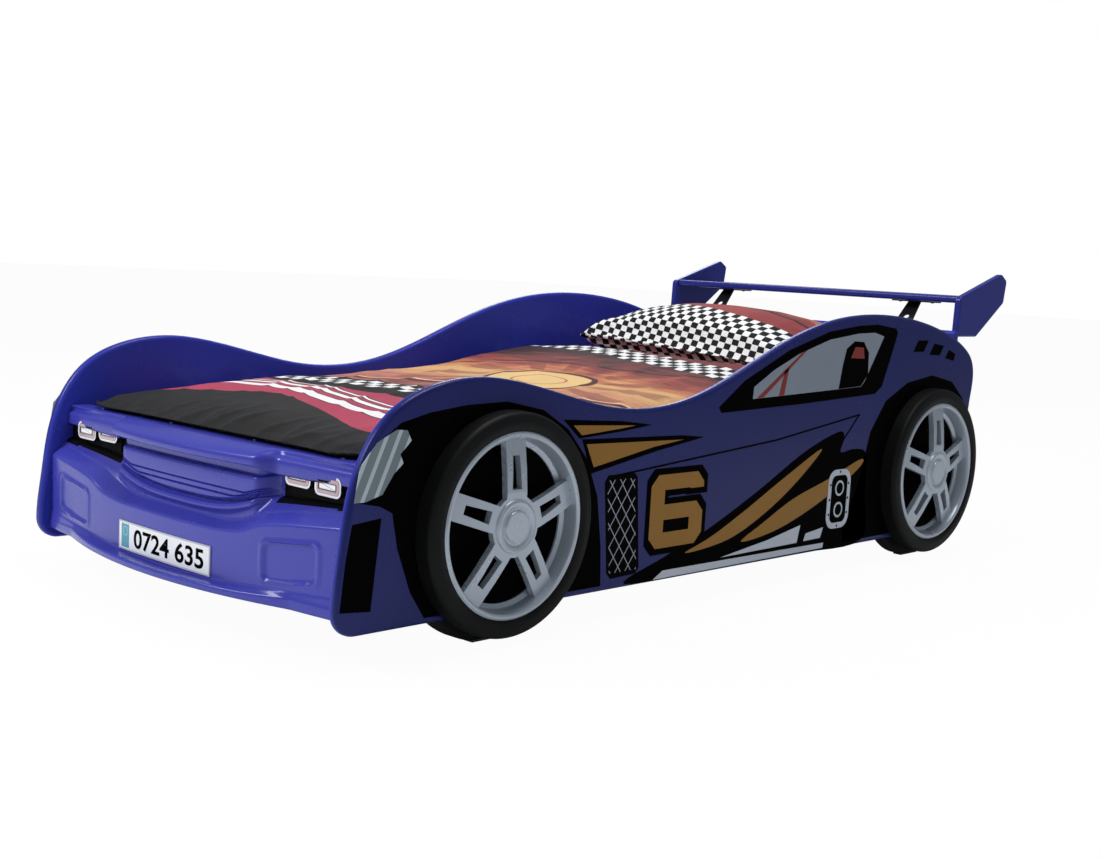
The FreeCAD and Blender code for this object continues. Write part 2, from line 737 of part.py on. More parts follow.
rearBlank = block(
    "rear_board_blank", "-innerHalf", "rearBoardY", "boardFoot",
    "2*innerHalf", "board", "rearBoardTop - boardFoot",
)
doc.recompute()
rearSoft = doc.addObject("Part::Fillet", "rear_board_round")
rearSoft.Base = rearBlank
rearSoft.Edges = [
    (i, s.edgeRound, s.edgeRound)
    for i, e in enumerate(rearBlank.Shape.Edges, start=1)
    if e.BoundBox.XLength > 100 and e.BoundBox.ZMin > s.rearBoardTop - 1
]
rearTool = group("rear_holes", spoilerFix + bracketFix["left", "rear"] + bracketFix["right", "rear"])
keep("rear_board", drilled("rear_board_drilled", rearSoft, rearTool))

brackets = []
for side, sign, end, y, inward in bracketCorners():
    blank = solidOf(f"bracket_{side}_{end}_blank", cornerBracket(sign, y, inward))
    tool = group(f"bracket_{side}_{end}_holes", bracketFix[side, end])
    brackets.append(drilled(f"bracket_{side}_{end}", blank, tool))
keep("corner_brackets", group("corner_brackets", brackets))

# wheels and the feet that carry the bed
glides = []
for side, sign in SIDES.items():
    for axleName, axle in AXLES.items():
        place = f"{axleName}_{side}"
        cover = wheelPlace(tyreCover(f"tyre_{place}"), side, axle)
        held = [b for b in bolts[side] if f"_{axleName}_" in b.Name]
        tool = group(f"tyre_{place}_holes", held)
        keep(f"tyre_{place}", drilled(f"tyre_{place}_drilled", cover, tool))
        keep(f"rim_{place}", wheelPlace(rim(f"rim_{place}"), side, axle))
        keep(f"hub_cap_{place}", wheelPlace(hubCap(f"hub_cap_{place}"), side, axle))
        foot = supportFoot(f"support_foot_{place}", side, axle)
        tool = group(f"support_foot_{place}_holes", held)
        keep(f"support_foot_{place}", drilled(f"support_foot_{place}_drilled", foot, tool))
        x = {"left": "innerHalf - board", "right": "-innerHalf"}[side]
        glides.append(block(
            f"glide_{place}", x, f"{axle} - glideLong/2", "0*glide", "board", "glideLong", "glide",
        ))

# slatted base
rails = {"left": "innerHalf - board", "right": "-innerHalf"}
for side, x in rails.items():
    rail = block(
        f"side_rail_{side}_blank", x, "frontBoardY + board + 4", "footTop",
        "board", "rearBoardY - frontBoardY - board - 8", "railHigh",
    )
    tool = group(f"rail_holes_{side}", railFix[side])
    keep(f"side_rail_{side}", drilled(f"side_rail_{side}_drilled", rail, tool))
keep("centre_rail", block(
    "centre_rail", "-legWide/2", "frontBoardY + board", "footTop",
    "legWide", "rearBoardY - frontBoardY - board", "railHigh",
))
hangers = []
for end, y, inward in (("front", s.frontBoardY + s.board, 1), ("rear", s.rearBoardY, -1)):
    upright = Part.makeBox(60, 3, 62, Vec(-30, min(y, y + inward * 3), s.footTop - 62))
    shelf = Part.makeBox(60, 44, 3, Vec(-30, min(y, y + inward * 44), s.footTop - 3))
    hangers.append(solidOf(f"hanger_{end}", upright.fuse(shelf).removeSplitter()))
keep("rail_hangers", group("rail_hangers", hangers))

legs = []
for end, y in (("front", -420), ("rear", 300)):
    leg = block(f"leg_{end}", "-legWide/2", "0*glide", "glide", "legWide", "legWide", "footTop - glide")
    leg.setExpression("Placement.Base.y", str(y))
    legs.append(leg)
    pad = block(f"leg_glide_{end}", "-legWide/2", "0*glide", "0*glide", "legWide", "legWide", "glide")
    pad.setExpression("Placement.Base.y", str(y))
    glides.append(pad)
keep("centre_legs", group("centre_legs", legs))
keep("floor_glides", group("floor_glides", glides))

slats = []
for k in range(int(s.slatCount)):
    y = mix(s.slatFirst, s.slatLast, k / (s.slatCount - 1))
    slat = block(
        f"slat_{k}_blank", "-innerHalf + 3", "0*glide", "footTop + railHigh",
        "2*innerHalf - 6", "slatWide", "slatThick",
    )
    slat.setExpression("Placement.Base.y", str(y - s.slatWide / 2))
    slats.append(rounded(f"slat_{k}", slat, 3, Vec(1, 0, 0)))
keep("slats", group("slats", slats))
straps = [
    block(
        f"strap_{side}", x, "slatFirst - slatWide/2 + 6", "footTop + railHigh + slatThick",
        "26", "slatLast - slatFirst + slatWide - 12", "strap",
    )
    for side, x in (("left", "300"), ("right", "-326"))
]
keep("slat_straps", group("slat_straps", straps))

# bumper and what sits in it
shell = solidOf("front_bumper_moulding", bumperShell())
keep("front_bumper", drilled("front_bumper_drilled", shell, group("lip_holes", lipFix)))
for side, sign in SIDES.items():
    bezel = doc.addObject("Part::Box", f"headlamp_bezel_{side}")
    bezel.Length, bezel.Width, bezel.Height = 196, 3, LAMP_TOP - LAMP_FLOOR - 3
    bezel.Placement.Base = Vec(288 if sign > 0 else -484, LAMP_WALL - 3.2, LAMP_FLOOR + 1)
    keep(f"headlamp_bezel_{side}", bezel)
    lenses = [
        lampLens(f"lamp_{side}_{k}", Vec(sign * x, LAMP_WALL - 3.2, LAMP_FLOOR + 18))
        for k, x in enumerate(LAMPS)
    ]
    keep(f"headlamp_lenses_{side}", group(f"headlamp_lenses_{side}", lenses))
signTop = s.signLow + s.signHigh
sign = bowedPlate(s.signLow, signTop, s.signWide / 2, FACE[0] - 2.6, FACE[1], 2.5)
keep("number_plate", solidOf("number_plate", sign))

# spoiler
blade = block(
    "spoiler_blade_blank", "-plateOut + bladeThick", "bladeY", "bladeZ",
    "2*plateOut - 2*bladeThick", "bladeDeep", "bladeThick",
)
bladeSoft = rounded("spoiler_blade_round", blade, 6, Vec(1, 0, 0))
keep("spoiler_blade", drilled("spoiler_blade_drilled", bladeSoft, group("blade_holes", spoilerFix + dowels)))
for side, inward in (("left", "plateOut - bladeThick"), ("right", "-plateOut")):
    plate = endPlate(f"spoiler_endplate_{side}", inward)
    tool = group(f"endplate_holes_{side}", [d for d in dowels if side in d.Name])
    keep(f"spoiler_endplate_{side}", drilled(f"spoiler_endplate_{side}_drilled", plate, tool))
    bent = solidOf(f"spoiler_strut_{side}_bent", strut(f"strut_{side}", SIDES[side] * s.strutX))
    tool = group(f"strut_holes_{side}", [f for f in spoilerFix if side in f.Name])
    keep(f"spoiler_strut_{side}", drilled(f"spoiler_strut_{side}_drilled", bent, tool))

# bedding
keep("mattress", mattress())
cover = Part.makeLoft([duvetSection(y, z) for y, z in DUVET_EDGE], True, True)
keep("duvet", solidOf("duvet", cover))
shares = [-v for v in PILLOW_SHARES[:0:-1]] + PILLOW_SHARES
cushion = solidOf("pillow", Part.makeLoft([pillowSection(v) for v in shares], True, True))
turn = FreeCAD.Rotation(Vec(0, 0, 1), PILLOW.turn)
cushion.Placement = FreeCAD.Placement(Vec(0, PILLOW.y, PILLOW.z), turn)
keep("pillow", cushion)

# ---------------------------------------------------------------- check and write
doc.recompute()
for thing in doc.Objects:
    bad = {"Invalid", "Error"} & set(thing.State)
    if bad:
        raise RuntimeError(f"{thing.Name} is {sorted(bad)}")
for label, thing in nodes.items():
    thing.Label = label
    if thing.Shape.isNull() or not thing.Shape.isValid() or not thing.Shape.Solids:
        raise RuntimeError(f"{label} has no sound solid")
for label, thing in nodes.items():
    thing.Shape.exportStep(f"parts/{label}.step")
print(len(nodes), "nodes written")
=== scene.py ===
import bpy
import json
import math
from mathutils import Matrix, Vector, noise


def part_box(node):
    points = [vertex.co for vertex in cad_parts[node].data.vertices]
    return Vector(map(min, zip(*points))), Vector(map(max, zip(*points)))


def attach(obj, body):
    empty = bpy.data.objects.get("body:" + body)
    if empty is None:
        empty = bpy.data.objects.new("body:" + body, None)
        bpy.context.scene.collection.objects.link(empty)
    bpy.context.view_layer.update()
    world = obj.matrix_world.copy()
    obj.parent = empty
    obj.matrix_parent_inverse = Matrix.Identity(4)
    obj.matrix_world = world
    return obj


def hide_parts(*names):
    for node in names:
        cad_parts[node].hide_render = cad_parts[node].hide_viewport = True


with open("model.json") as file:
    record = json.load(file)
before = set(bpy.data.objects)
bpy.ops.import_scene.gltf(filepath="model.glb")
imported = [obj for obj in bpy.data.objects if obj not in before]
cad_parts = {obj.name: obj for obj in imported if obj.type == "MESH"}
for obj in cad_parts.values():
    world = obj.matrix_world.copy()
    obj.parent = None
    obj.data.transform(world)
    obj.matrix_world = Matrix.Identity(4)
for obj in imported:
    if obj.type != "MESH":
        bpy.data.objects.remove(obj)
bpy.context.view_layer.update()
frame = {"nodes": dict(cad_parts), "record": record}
nodes = frame["nodes"]
scene = bpy.context.scene
sides = {"left": 1, "right": -1}

camera = {
    "place": (2.3674, -2.6189, 0.6976),
    "azimuth": 44.353, "down": 7.46, "roll": 2.965,  # degrees
    "lens": 48.3, "shiftX": 0.03, "shiftY": 0.0209,
}
light = {
    "world": (0.86, 0.9, 0.96), "worldLevel": 0.26, "background": 1.0,
    "shadowShare": 0.035,  # how much of the shaded floor the camera sees, so that the shadow stays
    "key": {"place": (-2.4, -4.4, 3.9), "size": 2.6, "power": 215},
    "fill": {"place": (4.6, -2.2, 2.4), "size": 3.0, "power": 12},
    "top": {"place": (0.4, 0.2, 4.2), "size": 2.4, "power": 105},
    "rim": {"place": (-3.5, 3.6, 2.8), "size": 2.6, "power": 50},
}


def aim(obj, place, target):
    away = Vector(place) - Vector(target)
    obj.rotation_mode = "QUATERNION"
    obj.rotation_quaternion = (-away).to_track_quat("-Z", "Y")
    obj.location = place


def setCamera():
    bpy.ops.object.camera_add()
    cam = bpy.context.object
    azimuth, down, roll = (math.radians(camera[k]) for k in ("azimuth", "down", "roll"))
    back = Vector((math.sin(azimuth) * math.cos(down), -math.cos(azimuth) * math.cos(down), math.sin(down)))
    right = Vector((0, 0, 1)).cross(back).normalized()
    up = back.cross(right)
    right, up = (
        math.cos(roll) * right + math.sin(roll) * up,
        math.cos(roll) * up - math.sin(roll) * right,
    )
    turn = Matrix((right, up, back)).transposed().to_4x4()
    cam.matrix_world = Matrix.Translation(camera["place"]) @ turn
    cam.data.sensor_width = 36
    cam.data.lens = camera["lens"]
    cam.data.shift_x, cam.data.shift_y = camera["shiftX"], camera["shiftY"]
    scene.camera = cam


def paleWhereSeen(tree, shader, out, share=1.0):
    # the camera sees this share of a plain pale background, also through clear parts
    w = Wires(tree)
    path = w.add("ShaderNodeLightPath").outputs
    seen = w.math("MAXIMUM", path["Is Camera Ray"], path["Is Transmission Ray"])
    inWorld = out.bl_idname == "ShaderNodeOutputWorld"
    pale = w.add("ShaderNodeBackground" if inWorld else "ShaderNodeEmission")
    pale.inputs["Color"].default_value = (1, 1, 1, 1)
    pale.inputs["Strength"].default_value = light["background"]
    mix = w.add("ShaderNodeMixShader")
    for socket, value in zip(mix.inputs, (w.times(seen, share), shader.outputs[0], pale.outputs[0])):
        w.put(socket, value)
    w.put(out.inputs["Surface"], mix.outputs[0])


def setLight():
    world = bpy.data.worlds.new("studio")
    scene.world = world
    world.use_nodes = True
    tree = world.node_tree
    glow = tree.nodes["Background"]
    glow.inputs["Color"].default_value = (*light["world"], 1)
    glow.inputs["Strength"].default_value = light["worldLevel"]
    paleWhereSeen(tree, glow, tree.nodes["World Output"])
    for name in ("key", "fill", "top", "rim"):
        values = light[name]
        bpy.ops.object.light_add(type="AREA")
        lamp = bpy.context.object
        lamp.name = name + "Lamp"
        lamp.data.shape = "DISK"
        lamp.data.size = values["size"]
        lamp.data.energy = values["power"]
        aim(lamp, values["place"], (0, 0, 0.3))
    scene.view_settings.view_transform = "Standard"


def setFloor():
    floor = added("floor", bpy.ops.mesh.primitive_plane_add, size=60, location=(0, 0, -0.0005))
    mat = bpy.data.materials.new("paleFloor")
    mat.use_nodes = True
    tree = mat.node_tree
    bsdf = tree.nodes["Principled BSDF"]
    bsdf.inputs["Base Color"].default_value = (0.92, 0.92, 0.92, 1)
    bsdf.inputs["Roughness"].default_value = 0.7
    paleWhereSeen(tree, bsdf, tree.nodes["Material Output"], 1 - light["shadowShare"])
    floor.data.materials.append(mat)


def linear(red, green, blue):
    # a colour as it looks on screen, 0 to 255, to the values that the shader takes
    def one(v):
        v /= 255
        return v / 12.92 if v <= 0.04045 else ((v + 0.055) / 1.055) ** 2.4
    return (one(red), one(green), one(blue), 1)


class Wires:
    # adds nodes to a tree and joins them
    def __init__(self, tree):
        self.tree = tree

    def add(self, kind, **settings):
        node = self.tree.nodes.new(kind)
        for name, value in settings.items():
            setattr(node, name, value)
        return node

    def put(self, socket, value):
        if isinstance(value, bpy.types.NodeSocket):
            self.tree.links.new(value, socket)
        elif value is not None:
            socket.default_value = value

    def math(self, operation, a, b=None, c=None):
        node = self.add("ShaderNodeMath", operation=operation)
        for socket, value in zip(node.inputs, (a, b, c)):
            self.put(socket, value)
        return node.outputs[0]

    def times(self, a, b):
        return self.math("MULTIPLY", a, b)

    def timesPlus(self, a, b, c):
        return self.math("MULTIPLY_ADD", a, b, c)

    def sine(self, value, factor):
        return self.math("SINE", self.times(value, factor))

    def far(self, a, b):
        return self.math("SQRT", self.math("ADD", self.times(a, a), self.times(b, b)))

    def place(self):
        return self.add("ShaderNodeTexCoord").outputs["Object"]

    def split(self, vector):
        node = self.add("ShaderNodeSeparateXYZ")
        self.put(node.inputs[0], vector)
        return node.outputs

    def join(self, x, y, z=0.0):
        node = self.add("ShaderNodeCombineXYZ")
        for socket, value in zip(node.inputs, (x, y, z)):
            self.put(socket, value)
        return node.outputs[0]

    def noise(self, vector, scale, detail=2.0, distortion=0.0):
        node = self.add("ShaderNodeTexNoise")
        self.put(node.inputs["Vector"], vector)
        node.inputs["Scale"].default_value = scale
        node.inputs["Detail"].default_value = detail
        node.inputs["Distortion"].default_value = distortion
        return node.outputs["Fac"]

    def scaled(self, value, low, high, toLow=0.0, toHigh=1.0):
        node = self.add("ShaderNodeMapRange")
        for socket, number in zip(node.inputs, (value, low, high, toLow, toHigh)):
            self.put(socket, number)
        return node.outputs[0]

    def mix(self, factor, a, b):
        node = self.add("ShaderNodeMix", data_type="RGBA")
        for socket, value in zip((node.inputs[0], node.inputs[6], node.inputs[7]), (factor, a, b)):
            self.put(socket, value)
        return node.outputs[2]

    def ramp(self, value, stops):
        node = self.add("ShaderNodeValToRGB")
        ramp = node.color_ramp
        while len(ramp.elements) < len(stops):
            ramp.elements.new(0.5)
        for element, (at, colour) in zip(ramp.elements, stops):
            element.position, element.color = at, colour
        self.put(node.inputs[0], value)
        return node.outputs[0]

    def bump(self, height, strength, distance):
        node = self.add("ShaderNodeBump")
        node.inputs["Strength"].default_value = strength
        node.inputs["Distance"].default_value = distance
        self.put(node.inputs["Height"], height)
        return node.outputs[0]

    def group(self, tree, **values):
        node = self.add("ShaderNodeGroup")
        node.node_tree = tree
        for name, value in values.items():
            self.put(node.inputs[name], value)
        return node.outputs

    def above(self, value, edge, soft=0.0004):
        return self.scaled(value, edge - soft, edge + soft)

    def within(self, value, low, high, soft=0.0004):
        under = self.math("SUBTRACT", 1.0, self.above(value, high, soft))
        return self.times(self.above(value, low, soft), under)


def newGroup(name, inputs, outputs):
    tree = bpy.data.node_groups.new(name, "ShaderNodeTree")
    for label, kind, value in inputs:
        socket = tree.interface.new_socket(label, in_out="INPUT", socket_type=kind)
        if value is not None:
            socket.default_value = value
    for label, kind in outputs:
        tree.interface.new_socket(label, in_out="OUTPUT", socket_type=kind)
    w = Wires(tree)
    return tree, w, w.add("NodeGroupInput").outputs, w.add("NodeGroupOutput").inputs


def handledGroup():
    # uneven gloss from handling, with fine dust specks
    tree, w, given, out = newGroup(
        "handledGloss",
        [("Vector", "NodeSocketVector", None), ("Low", "NodeSocketFloat", 0.2),
         ("High", "NodeSocketFloat", 0.3)],
        [("Roughness", "NodeSocketFloat"), ("Specks", "NodeSocketFloat")],
    )
    cloud = w.noise(given["Vector"], 5.0, 4.0)
    scratch = w.noise(given["Vector"], 40.0, 3.0, 1.5)
    both = w.timesPlus(scratch, 0.15, w.times(cloud, 0.85))
    span = w.math("SUBTRACT", given["High"], given["Low"])
    w.put(out["Roughness"], w.timesPlus(w.scaled(both, 0.3, 0.7), span, given["Low"]))
    w.put(out["Specks"], w.scaled(w.noise(given["Vector"], 700.0, 1.0), 0.68, 0.76))
    return tree


def weaveGroup():
    # crossing threads, and the slubs among them
    tree, w, given, out = newGroup(
        "wovenThreads",
        [("Vector", "NodeSocketVector", None), ("Threads", "NodeSocketFloat", 1200.0)],
        [("Height", "NodeSocketFloat"), ("Slub", "NodeSocketFloat")],
    )
    x, y, _ = w.split(given["Vector"])
    over = w.sine(x, given["Threads"])
    under = w.sine(y, given["Threads"])
    w.put(out["Height"], w.times(over, under))
    w.put(out["Slub"], w.noise(given["Vector"], 260.0, 3.0))
    return tree


def chequerGroup():
    tree, w, given, out = newGroup(
        "chequers",
        [("U", "NodeSocketFloat", 0.0), ("V", "NodeSocketFloat", 0.0), ("Size", "NodeSocketFloat", 0.027)],
        [("Mask", "NodeSocketFloat")],
    )
    across = w.math("FLOOR", w.math("DIVIDE", given["U"], given["Size"]))
    along = w.math("FLOOR", w.math("DIVIDE", given["V"], given["Size"]))
    w.put(out["Mask"], w.math("PINGPONG", w.math("ADD", across, along), 1.0))
    return tree


def grainGroup():
    # long fibres along X, with early and late wood
    tree, w, given, out = newGroup(
        "timberGrain",
        [("Vector", "NodeSocketVector", None), ("Pale", "NodeSocketColor", (0.7, 0.5, 0.3, 1)),
         ("Dark", "NodeSocketColor", (0.5, 0.3, 0.15, 1))],
        [("Color", "NodeSocketColor"), ("Height", "NodeSocketFloat")],
    )
    x, y, z = w.split(given["Vector"])
    long = w.join(w.times(x, 0.6), w.times(y, 9.0), w.times(z, 9.0))
    rings = w.noise(long, 6.0, 5.0, 1.2)
    fibre = w.noise(long, 60.0, 2.0)
    both = w.timesPlus(fibre, 0.3, w.times(rings, 0.7))
    w.put(out["Color"], w.mix(w.scaled(both, 0.35, 0.65), given["Pale"], given["Dark"]))
    w.put(out["Height"], both)
    return tree


handled, weave, chequer, grain = handledGroup(), weaveGroup(), chequerGroup(), grainGroup()


def newMaterial(name):
    mat = bpy.data.materials.new(name)
    mat.use_nodes = True
    w = Wires(mat.node_tree)
    return mat, w, mat.node_tree.nodes["Principled BSDF"].inputs, w.place()


def worn(w, bsdf, place, low, high):
    # uneven gloss between two roughnesses, and the specks that go with it
    wear = w.group(handled, Vector=place, Low=low, High=high)
    w.put(bsdf["Roughness"], wear["Roughness"])
    return wear["Specks"]


def lacquer(name, colour, gloss=(0.16, 0.28), coat=0.5, peel=0.05, metallic=0.0, shine=0.5, inner=None):
    # sprayed and polished paint, a moulding or printed vinyl, by its gloss and its peel
    # inner is a brighter blue that the faces inside the bed take, in place of the darker outer colour
    mat, w, bsdf, place = newMaterial(name)
    specks = worn(w, bsdf, place, *gloss)
    cloud = w.scaled(w.noise(place, 2.2, 3.0), 0.3, 0.7, 0.94, 1.05)
    shade = w.add("ShaderNodeVectorMath", operation="SCALE")
    shade.inputs[0].default_value = colour[:3]
    if inner:
        outside = w.above(w.math("ABSOLUTE", w.split(place)[0]), 0.5, 0.004)
        w.put(shade.inputs[0], w.mix(outside, inner, colour))
    w.put(shade.inputs["Scale"], cloud)
    dusty = tuple(min(1, c + 0.03) for c in colour[:3]) + (1,)
    w.put(bsdf["Base Color"], w.mix(w.times(specks, 0.12), shade.outputs[0], dusty))
    bsdf["Metallic"].default_value = metallic
    bsdf["Specular IOR Level"].default_value = shine
    bsdf["Coat Weight"].default_value = coat
    bsdf["Coat Roughness"].default_value = 0.08
    w.put(bsdf["Normal"], w.bump(w.noise(place, 160.0, 2.0), peel, 0.002))
    return mat


def moulded(name, colour, gloss=(0.45, 0.6), grainSize=900.0, strength=0.25, metallic=0.0, shine=0.3):
    # plastic or metal with a fine grained skin
    mat, w, bsdf, place = newMaterial(name)
    worn(w, bsdf, place, *gloss)
    paler = tuple(min(1, c * 1.6 + 0.01) for c in colour[:3]) + (1,)
    w.put(bsdf["Base Color"], w.mix(w.times(w.noise(place, 12.0, 4.0), 0.35), colour, paler))
    bsdf["Metallic"].default_value = metallic
    bsdf["Specular IOR Level"].default_value = shine
    w.put(bsdf["Normal"], w.bump(w.noise(place, grainSize, 2.0), strength, 0.0006))
    return mat


def timber(name, pale, dark, alongY=False):
    mat, w, bsdf, place = newMaterial(name)
    if alongY:
        x, y, z = w.split(place)
        place = w.join(y, x, z)
    wood = w.group(grain, Vector=place, Pale=pale, Dark=dark)
    worn(w, bsdf, place, 0.5, 0.65)
    w.put(bsdf["Base Color"], wood["Color"])
    w.put(bsdf["Normal"], w.bump(wood["Height"], 0.3, 0.001))
    return mat


def cloth(name, colour, threads=2600.0, sheen=0.15):
    mat, w, bsdf, place = newMaterial(name)
    threaded = w.group(weave, Vector=place, Threads=threads)
    darker = tuple(c * 0.8 for c in colour[:3]) + (1,)
    w.put(bsdf["Base Color"], w.mix(w.scaled(threaded["Slub"], 0.35, 0.65), colour, darker))
    bsdf["Roughness"].default_value = 0.85
    bsdf["Sheen Weight"].default_value = sheen
    w.put(bsdf["Normal"], w.bump(threaded["Height"], 0.25, 0.0004))
    return mat


paint = {
    "navy": linear(28, 35, 98), "inside": linear(48, 56, 162), "bumper": linear(58, 61, 164),
    "spoiler": linear(36, 42, 128), "gold": linear(144, 104, 42), "black": linear(5, 5, 6),
    "silver": linear(186, 194, 206), "glass": linear(132, 142, 156), "red": linear(130, 50, 42),
    "tyre": linear(9, 10, 11), "rim": linear(168, 178, 190), "teal": linear(70, 150, 172),
    "white": linear(236, 238, 242),
}
print("materials")
mats = {
    "navy": lacquer(
        "navyLacquer", paint["navy"], (0.24, 0.3), 0.04, 0.006, shine=0.14, inner=paint["inside"],
    ),
    "bumper": lacquer("bumperBlue", paint["bumper"], (0.24, 0.3), 0.2, 0.006, shine=0.3),
    "spoiler": lacquer("spoilerLacquer", paint["spoiler"], (0.22, 0.3), 0.1, 0.015, shine=0.25),
    "gold": lacquer("goldVinyl", paint["gold"], (0.34, 0.44), 0.0, 0.02, shine=0.15),
    "black": lacquer("blackVinyl", paint["black"], (0.34, 0.46), 0.0, 0.0, shine=0.004),
    "silver": lacquer("silverVinyl", paint["silver"], (0.34, 0.44), 0.0, 0.02, shine=0.2),
    "glass": lacquer("windowVinyl", paint["glass"], (0.3, 0.4), 0.0, 0.02, shine=0.2),
    "red": lacquer("redVinyl", paint["red"], (0.34, 0.44), 0.0, 0.02, shine=0.15),
    "rim": lacquer("rimSilver", paint["rim"], (0.24, 0.34), 0.2, 0.01, 0.35),
    "tyre": moulded("tyreBlack", paint["tyre"], (0.46, 0.6), 500.0, 0.3, shine=0.12),
    "trim": moulded("blackTrimAndRecessShade", linear(4, 4, 5), (0.35, 0.5), shine=0.03),
    "steelBlack": moulded("blackPowderCoat", linear(16, 16, 17), (0.4, 0.5), 1200.0, 0.4),
    "zinc": moulded("zincPlate", linear(176, 178, 180), (0.28, 0.42), 300.0, 0.1, 1.0),
    "foot": moulded("blackBoard", linear(14, 14, 15), (0.55, 0.7)),
    "felt": cloth("greyFelt", linear(120, 116, 108), 900.0, 0.4),
    "tape": cloth("wovenTape", linear(206, 202, 190), 2400.0),
    "pine": timber("pineAcross", linear(226, 196, 150), linear(196, 152, 98)),
    "pineLong": timber("pineAlong", linear(226, 196, 150), linear(190, 146, 94), True),
}
finish = {
    "navy_lacquer": "navy", "spoiler_lacquer": "spoiler", "bumper_blue": "bumper", "black_trim": "trim",
    "strut_black": "steelBlack", "fastener_steel": "zinc", "tyre_black": "tyre", "rim_silver": "rim",
    "foot_black": "foot", "glide_felt": "felt", "timber": "pine", "webbing": "tape",
}


def dressNodes():
    slots = {row["node"]: row["material_slot"] for row in frame["record"]["subparts"]}
    for name, node in nodes.items():
        key = finish.get(slots[name])
        if name in ("side_rail_left", "side_rail_right", "centre_rail"):
            key = "pineLong"
        if key:
            for slot in node.material_slots:
                slot.link, slot.material = "DATA", mats[key]
            if not node.material_slots:
                node.data.materials.append(mats[key])


def added(name, operator, **values):
    bpy.ops.object.select_all(action="DESELECT")
    operator(**values)
    obj = bpy.context.object
    obj.name = obj.data.name = name
    return obj


def pick(obj):
    bpy.ops.object.select_all(action="DESELECT")
    obj.select_set(True)
    bpy.context.view_layer.objects.active = obj


def applyAll(obj):
    pick(obj)
    for modifier in list(obj.modifiers):
        bpy.ops.object.modifier_apply(modifier=modifier.name)


def outward(obj):
    pick(obj)
    bpy.ops.object.mode_set(mode="EDIT")
    bpy.ops.mesh.select_all(action="SELECT")
    bpy.ops.mesh.remove_doubles(threshold=0.00005)
    bpy.ops.mesh.normals_make_consistent(inside=False)
    bpy.ops.object.mode_set(mode="OBJECT")


def flatPiece(name, points):
    # a face with that outline, from a filled circle whose corners are moved
    obj = added(name, bpy.ops.mesh.primitive_circle_add, vertices=len(points), radius=1, fill_type="NGON")
    for vertex, point in zip(obj.data.vertices, points):
        vertex.co = point
    return obj


def thicken(obj, thickness, offset=-1.0):
    wall = obj.modifiers.new("wall", "SOLIDIFY")
    wall.thickness = thickness
    wall.offset = offset
    applyAll(obj)
    outward(obj)


def smoothLoop(points, steps=6):
    # a closed curve through the points
    out = []
    n = len(points)
    for i in range(n):
        a, b, c, d = (Vector((*points[(i + k) % n], 0)) for k in (-1, 0, 1, 2))
        for k in range(steps):
            t = k / steps
            p = 2 * b + (c - a) * t + (2 * a - 5 * b + 4 * c - d) * t**2 + (3 * b - a - 3 * c + d) * t**3
            out.append((p.x / 2, p.y / 2))
    return out


def roundBox(middle, width, height, radius, steps=6):
    # corners of a rounded oblong, counter-clockwise
    out = []
    for k, (sx, sy) in enumerate(((1, -1), (1, 1), (-1, 1), (-1, -1))):
        for i in range(steps + 1):
            angle = math.radians(-90 + 90 * k + 90 * i / steps)
            out.append((
                middle[0] + sx * (width / 2 - radius) + radius * math.cos(angle),
                middle[1] + sy * (height / 2 - radius) + radius * math.sin(angle),
            ))
    return out


def join(name, objs):
    pick(objs[0])
    for obj in objs:
        obj.select_set(True)
    bpy.ops.object.join()
    objs[0].name = objs[0].data.name = name
    return objs[0]


def paintWith(obj, *keys):
    obj.data.materials.clear()
    for key in keys:
        obj.data.materials.append(mats[key])


def coverWith(obj, key):
    paintWith(obj, key)
    pick(obj)
    bpy.ops.object.shade_smooth()


def softShade(obj, degrees=40):
    pick(obj)
    bpy.ops.object.shade_smooth_by_angle(angle=math.radians(degrees))


def ramp(value, low, high):
    t = min(max((value - low) / (high - low), 0), 1)
    return t * t * (3 - 2 * t)


def mixed(a, b, share):
    return a + (b - a) * share


bumper = {
    "half": 0.487, "wall": 0.005, "columns": 122, "faceRows": 12,
    "back": -1.02, "top": 0.342, "nose": (-1.175, 0.41), "skirt": 0.081, "face": (-1.135, 0.15),
    "fogPanel": {
        "middle": (0.366, 0.161), "half": (0.069, 0.036), "slope": 0.12, "deep": 0.0055, "rim": 0.0022,
    },
    "lampWall": -1.051,
    "steps": ((0.256, 0.008), (0.245, 0.004)),  # heights of the mouth's steps, least rise over its floor
    "recess": (0.263, -1.069, 0.248, 0.3045),  # the lamp recess, painted black as shade: its end, front, foot and top
    # heights along the bumper, in pairs of a distance from the middle and a height
    "bevelTop": (
        (0, 0.1985), (0.15, 0.1985), (0.2, 0.206), (0.25, 0.225), (0.3, 0.238), (0.37, 0.247), (0.487, 0.259),
    ),
    "bevelFoot": (
        (0, 0.19), (0.16, 0.1905), (0.22, 0.196), (0.245, 0.2), (0.29, 0.219), (0.36, 0.229), (0.487, 0.24),
    ),
    "ledge": ((0, 0.092), (0.18, 0.096), (0.295, 0.106), (0.487, 0.118)),
}


def bow(x, middle, rise):
    return middle + rise * x * x


def heightAt(x, pairs):
    for (x0, z0), (x1, z1) in zip(pairs, pairs[1:]):
        if x <= x1:
            return mixed(z0, z1, (x - x0) / (x1 - x0))
    return pairs[-1][1]


def easedHeight(x, pairs):
    # the same height with its corners eased
    return sum(heightAt(abs(x + k * 0.006), pairs) for k in range(-3, 4)) / 7


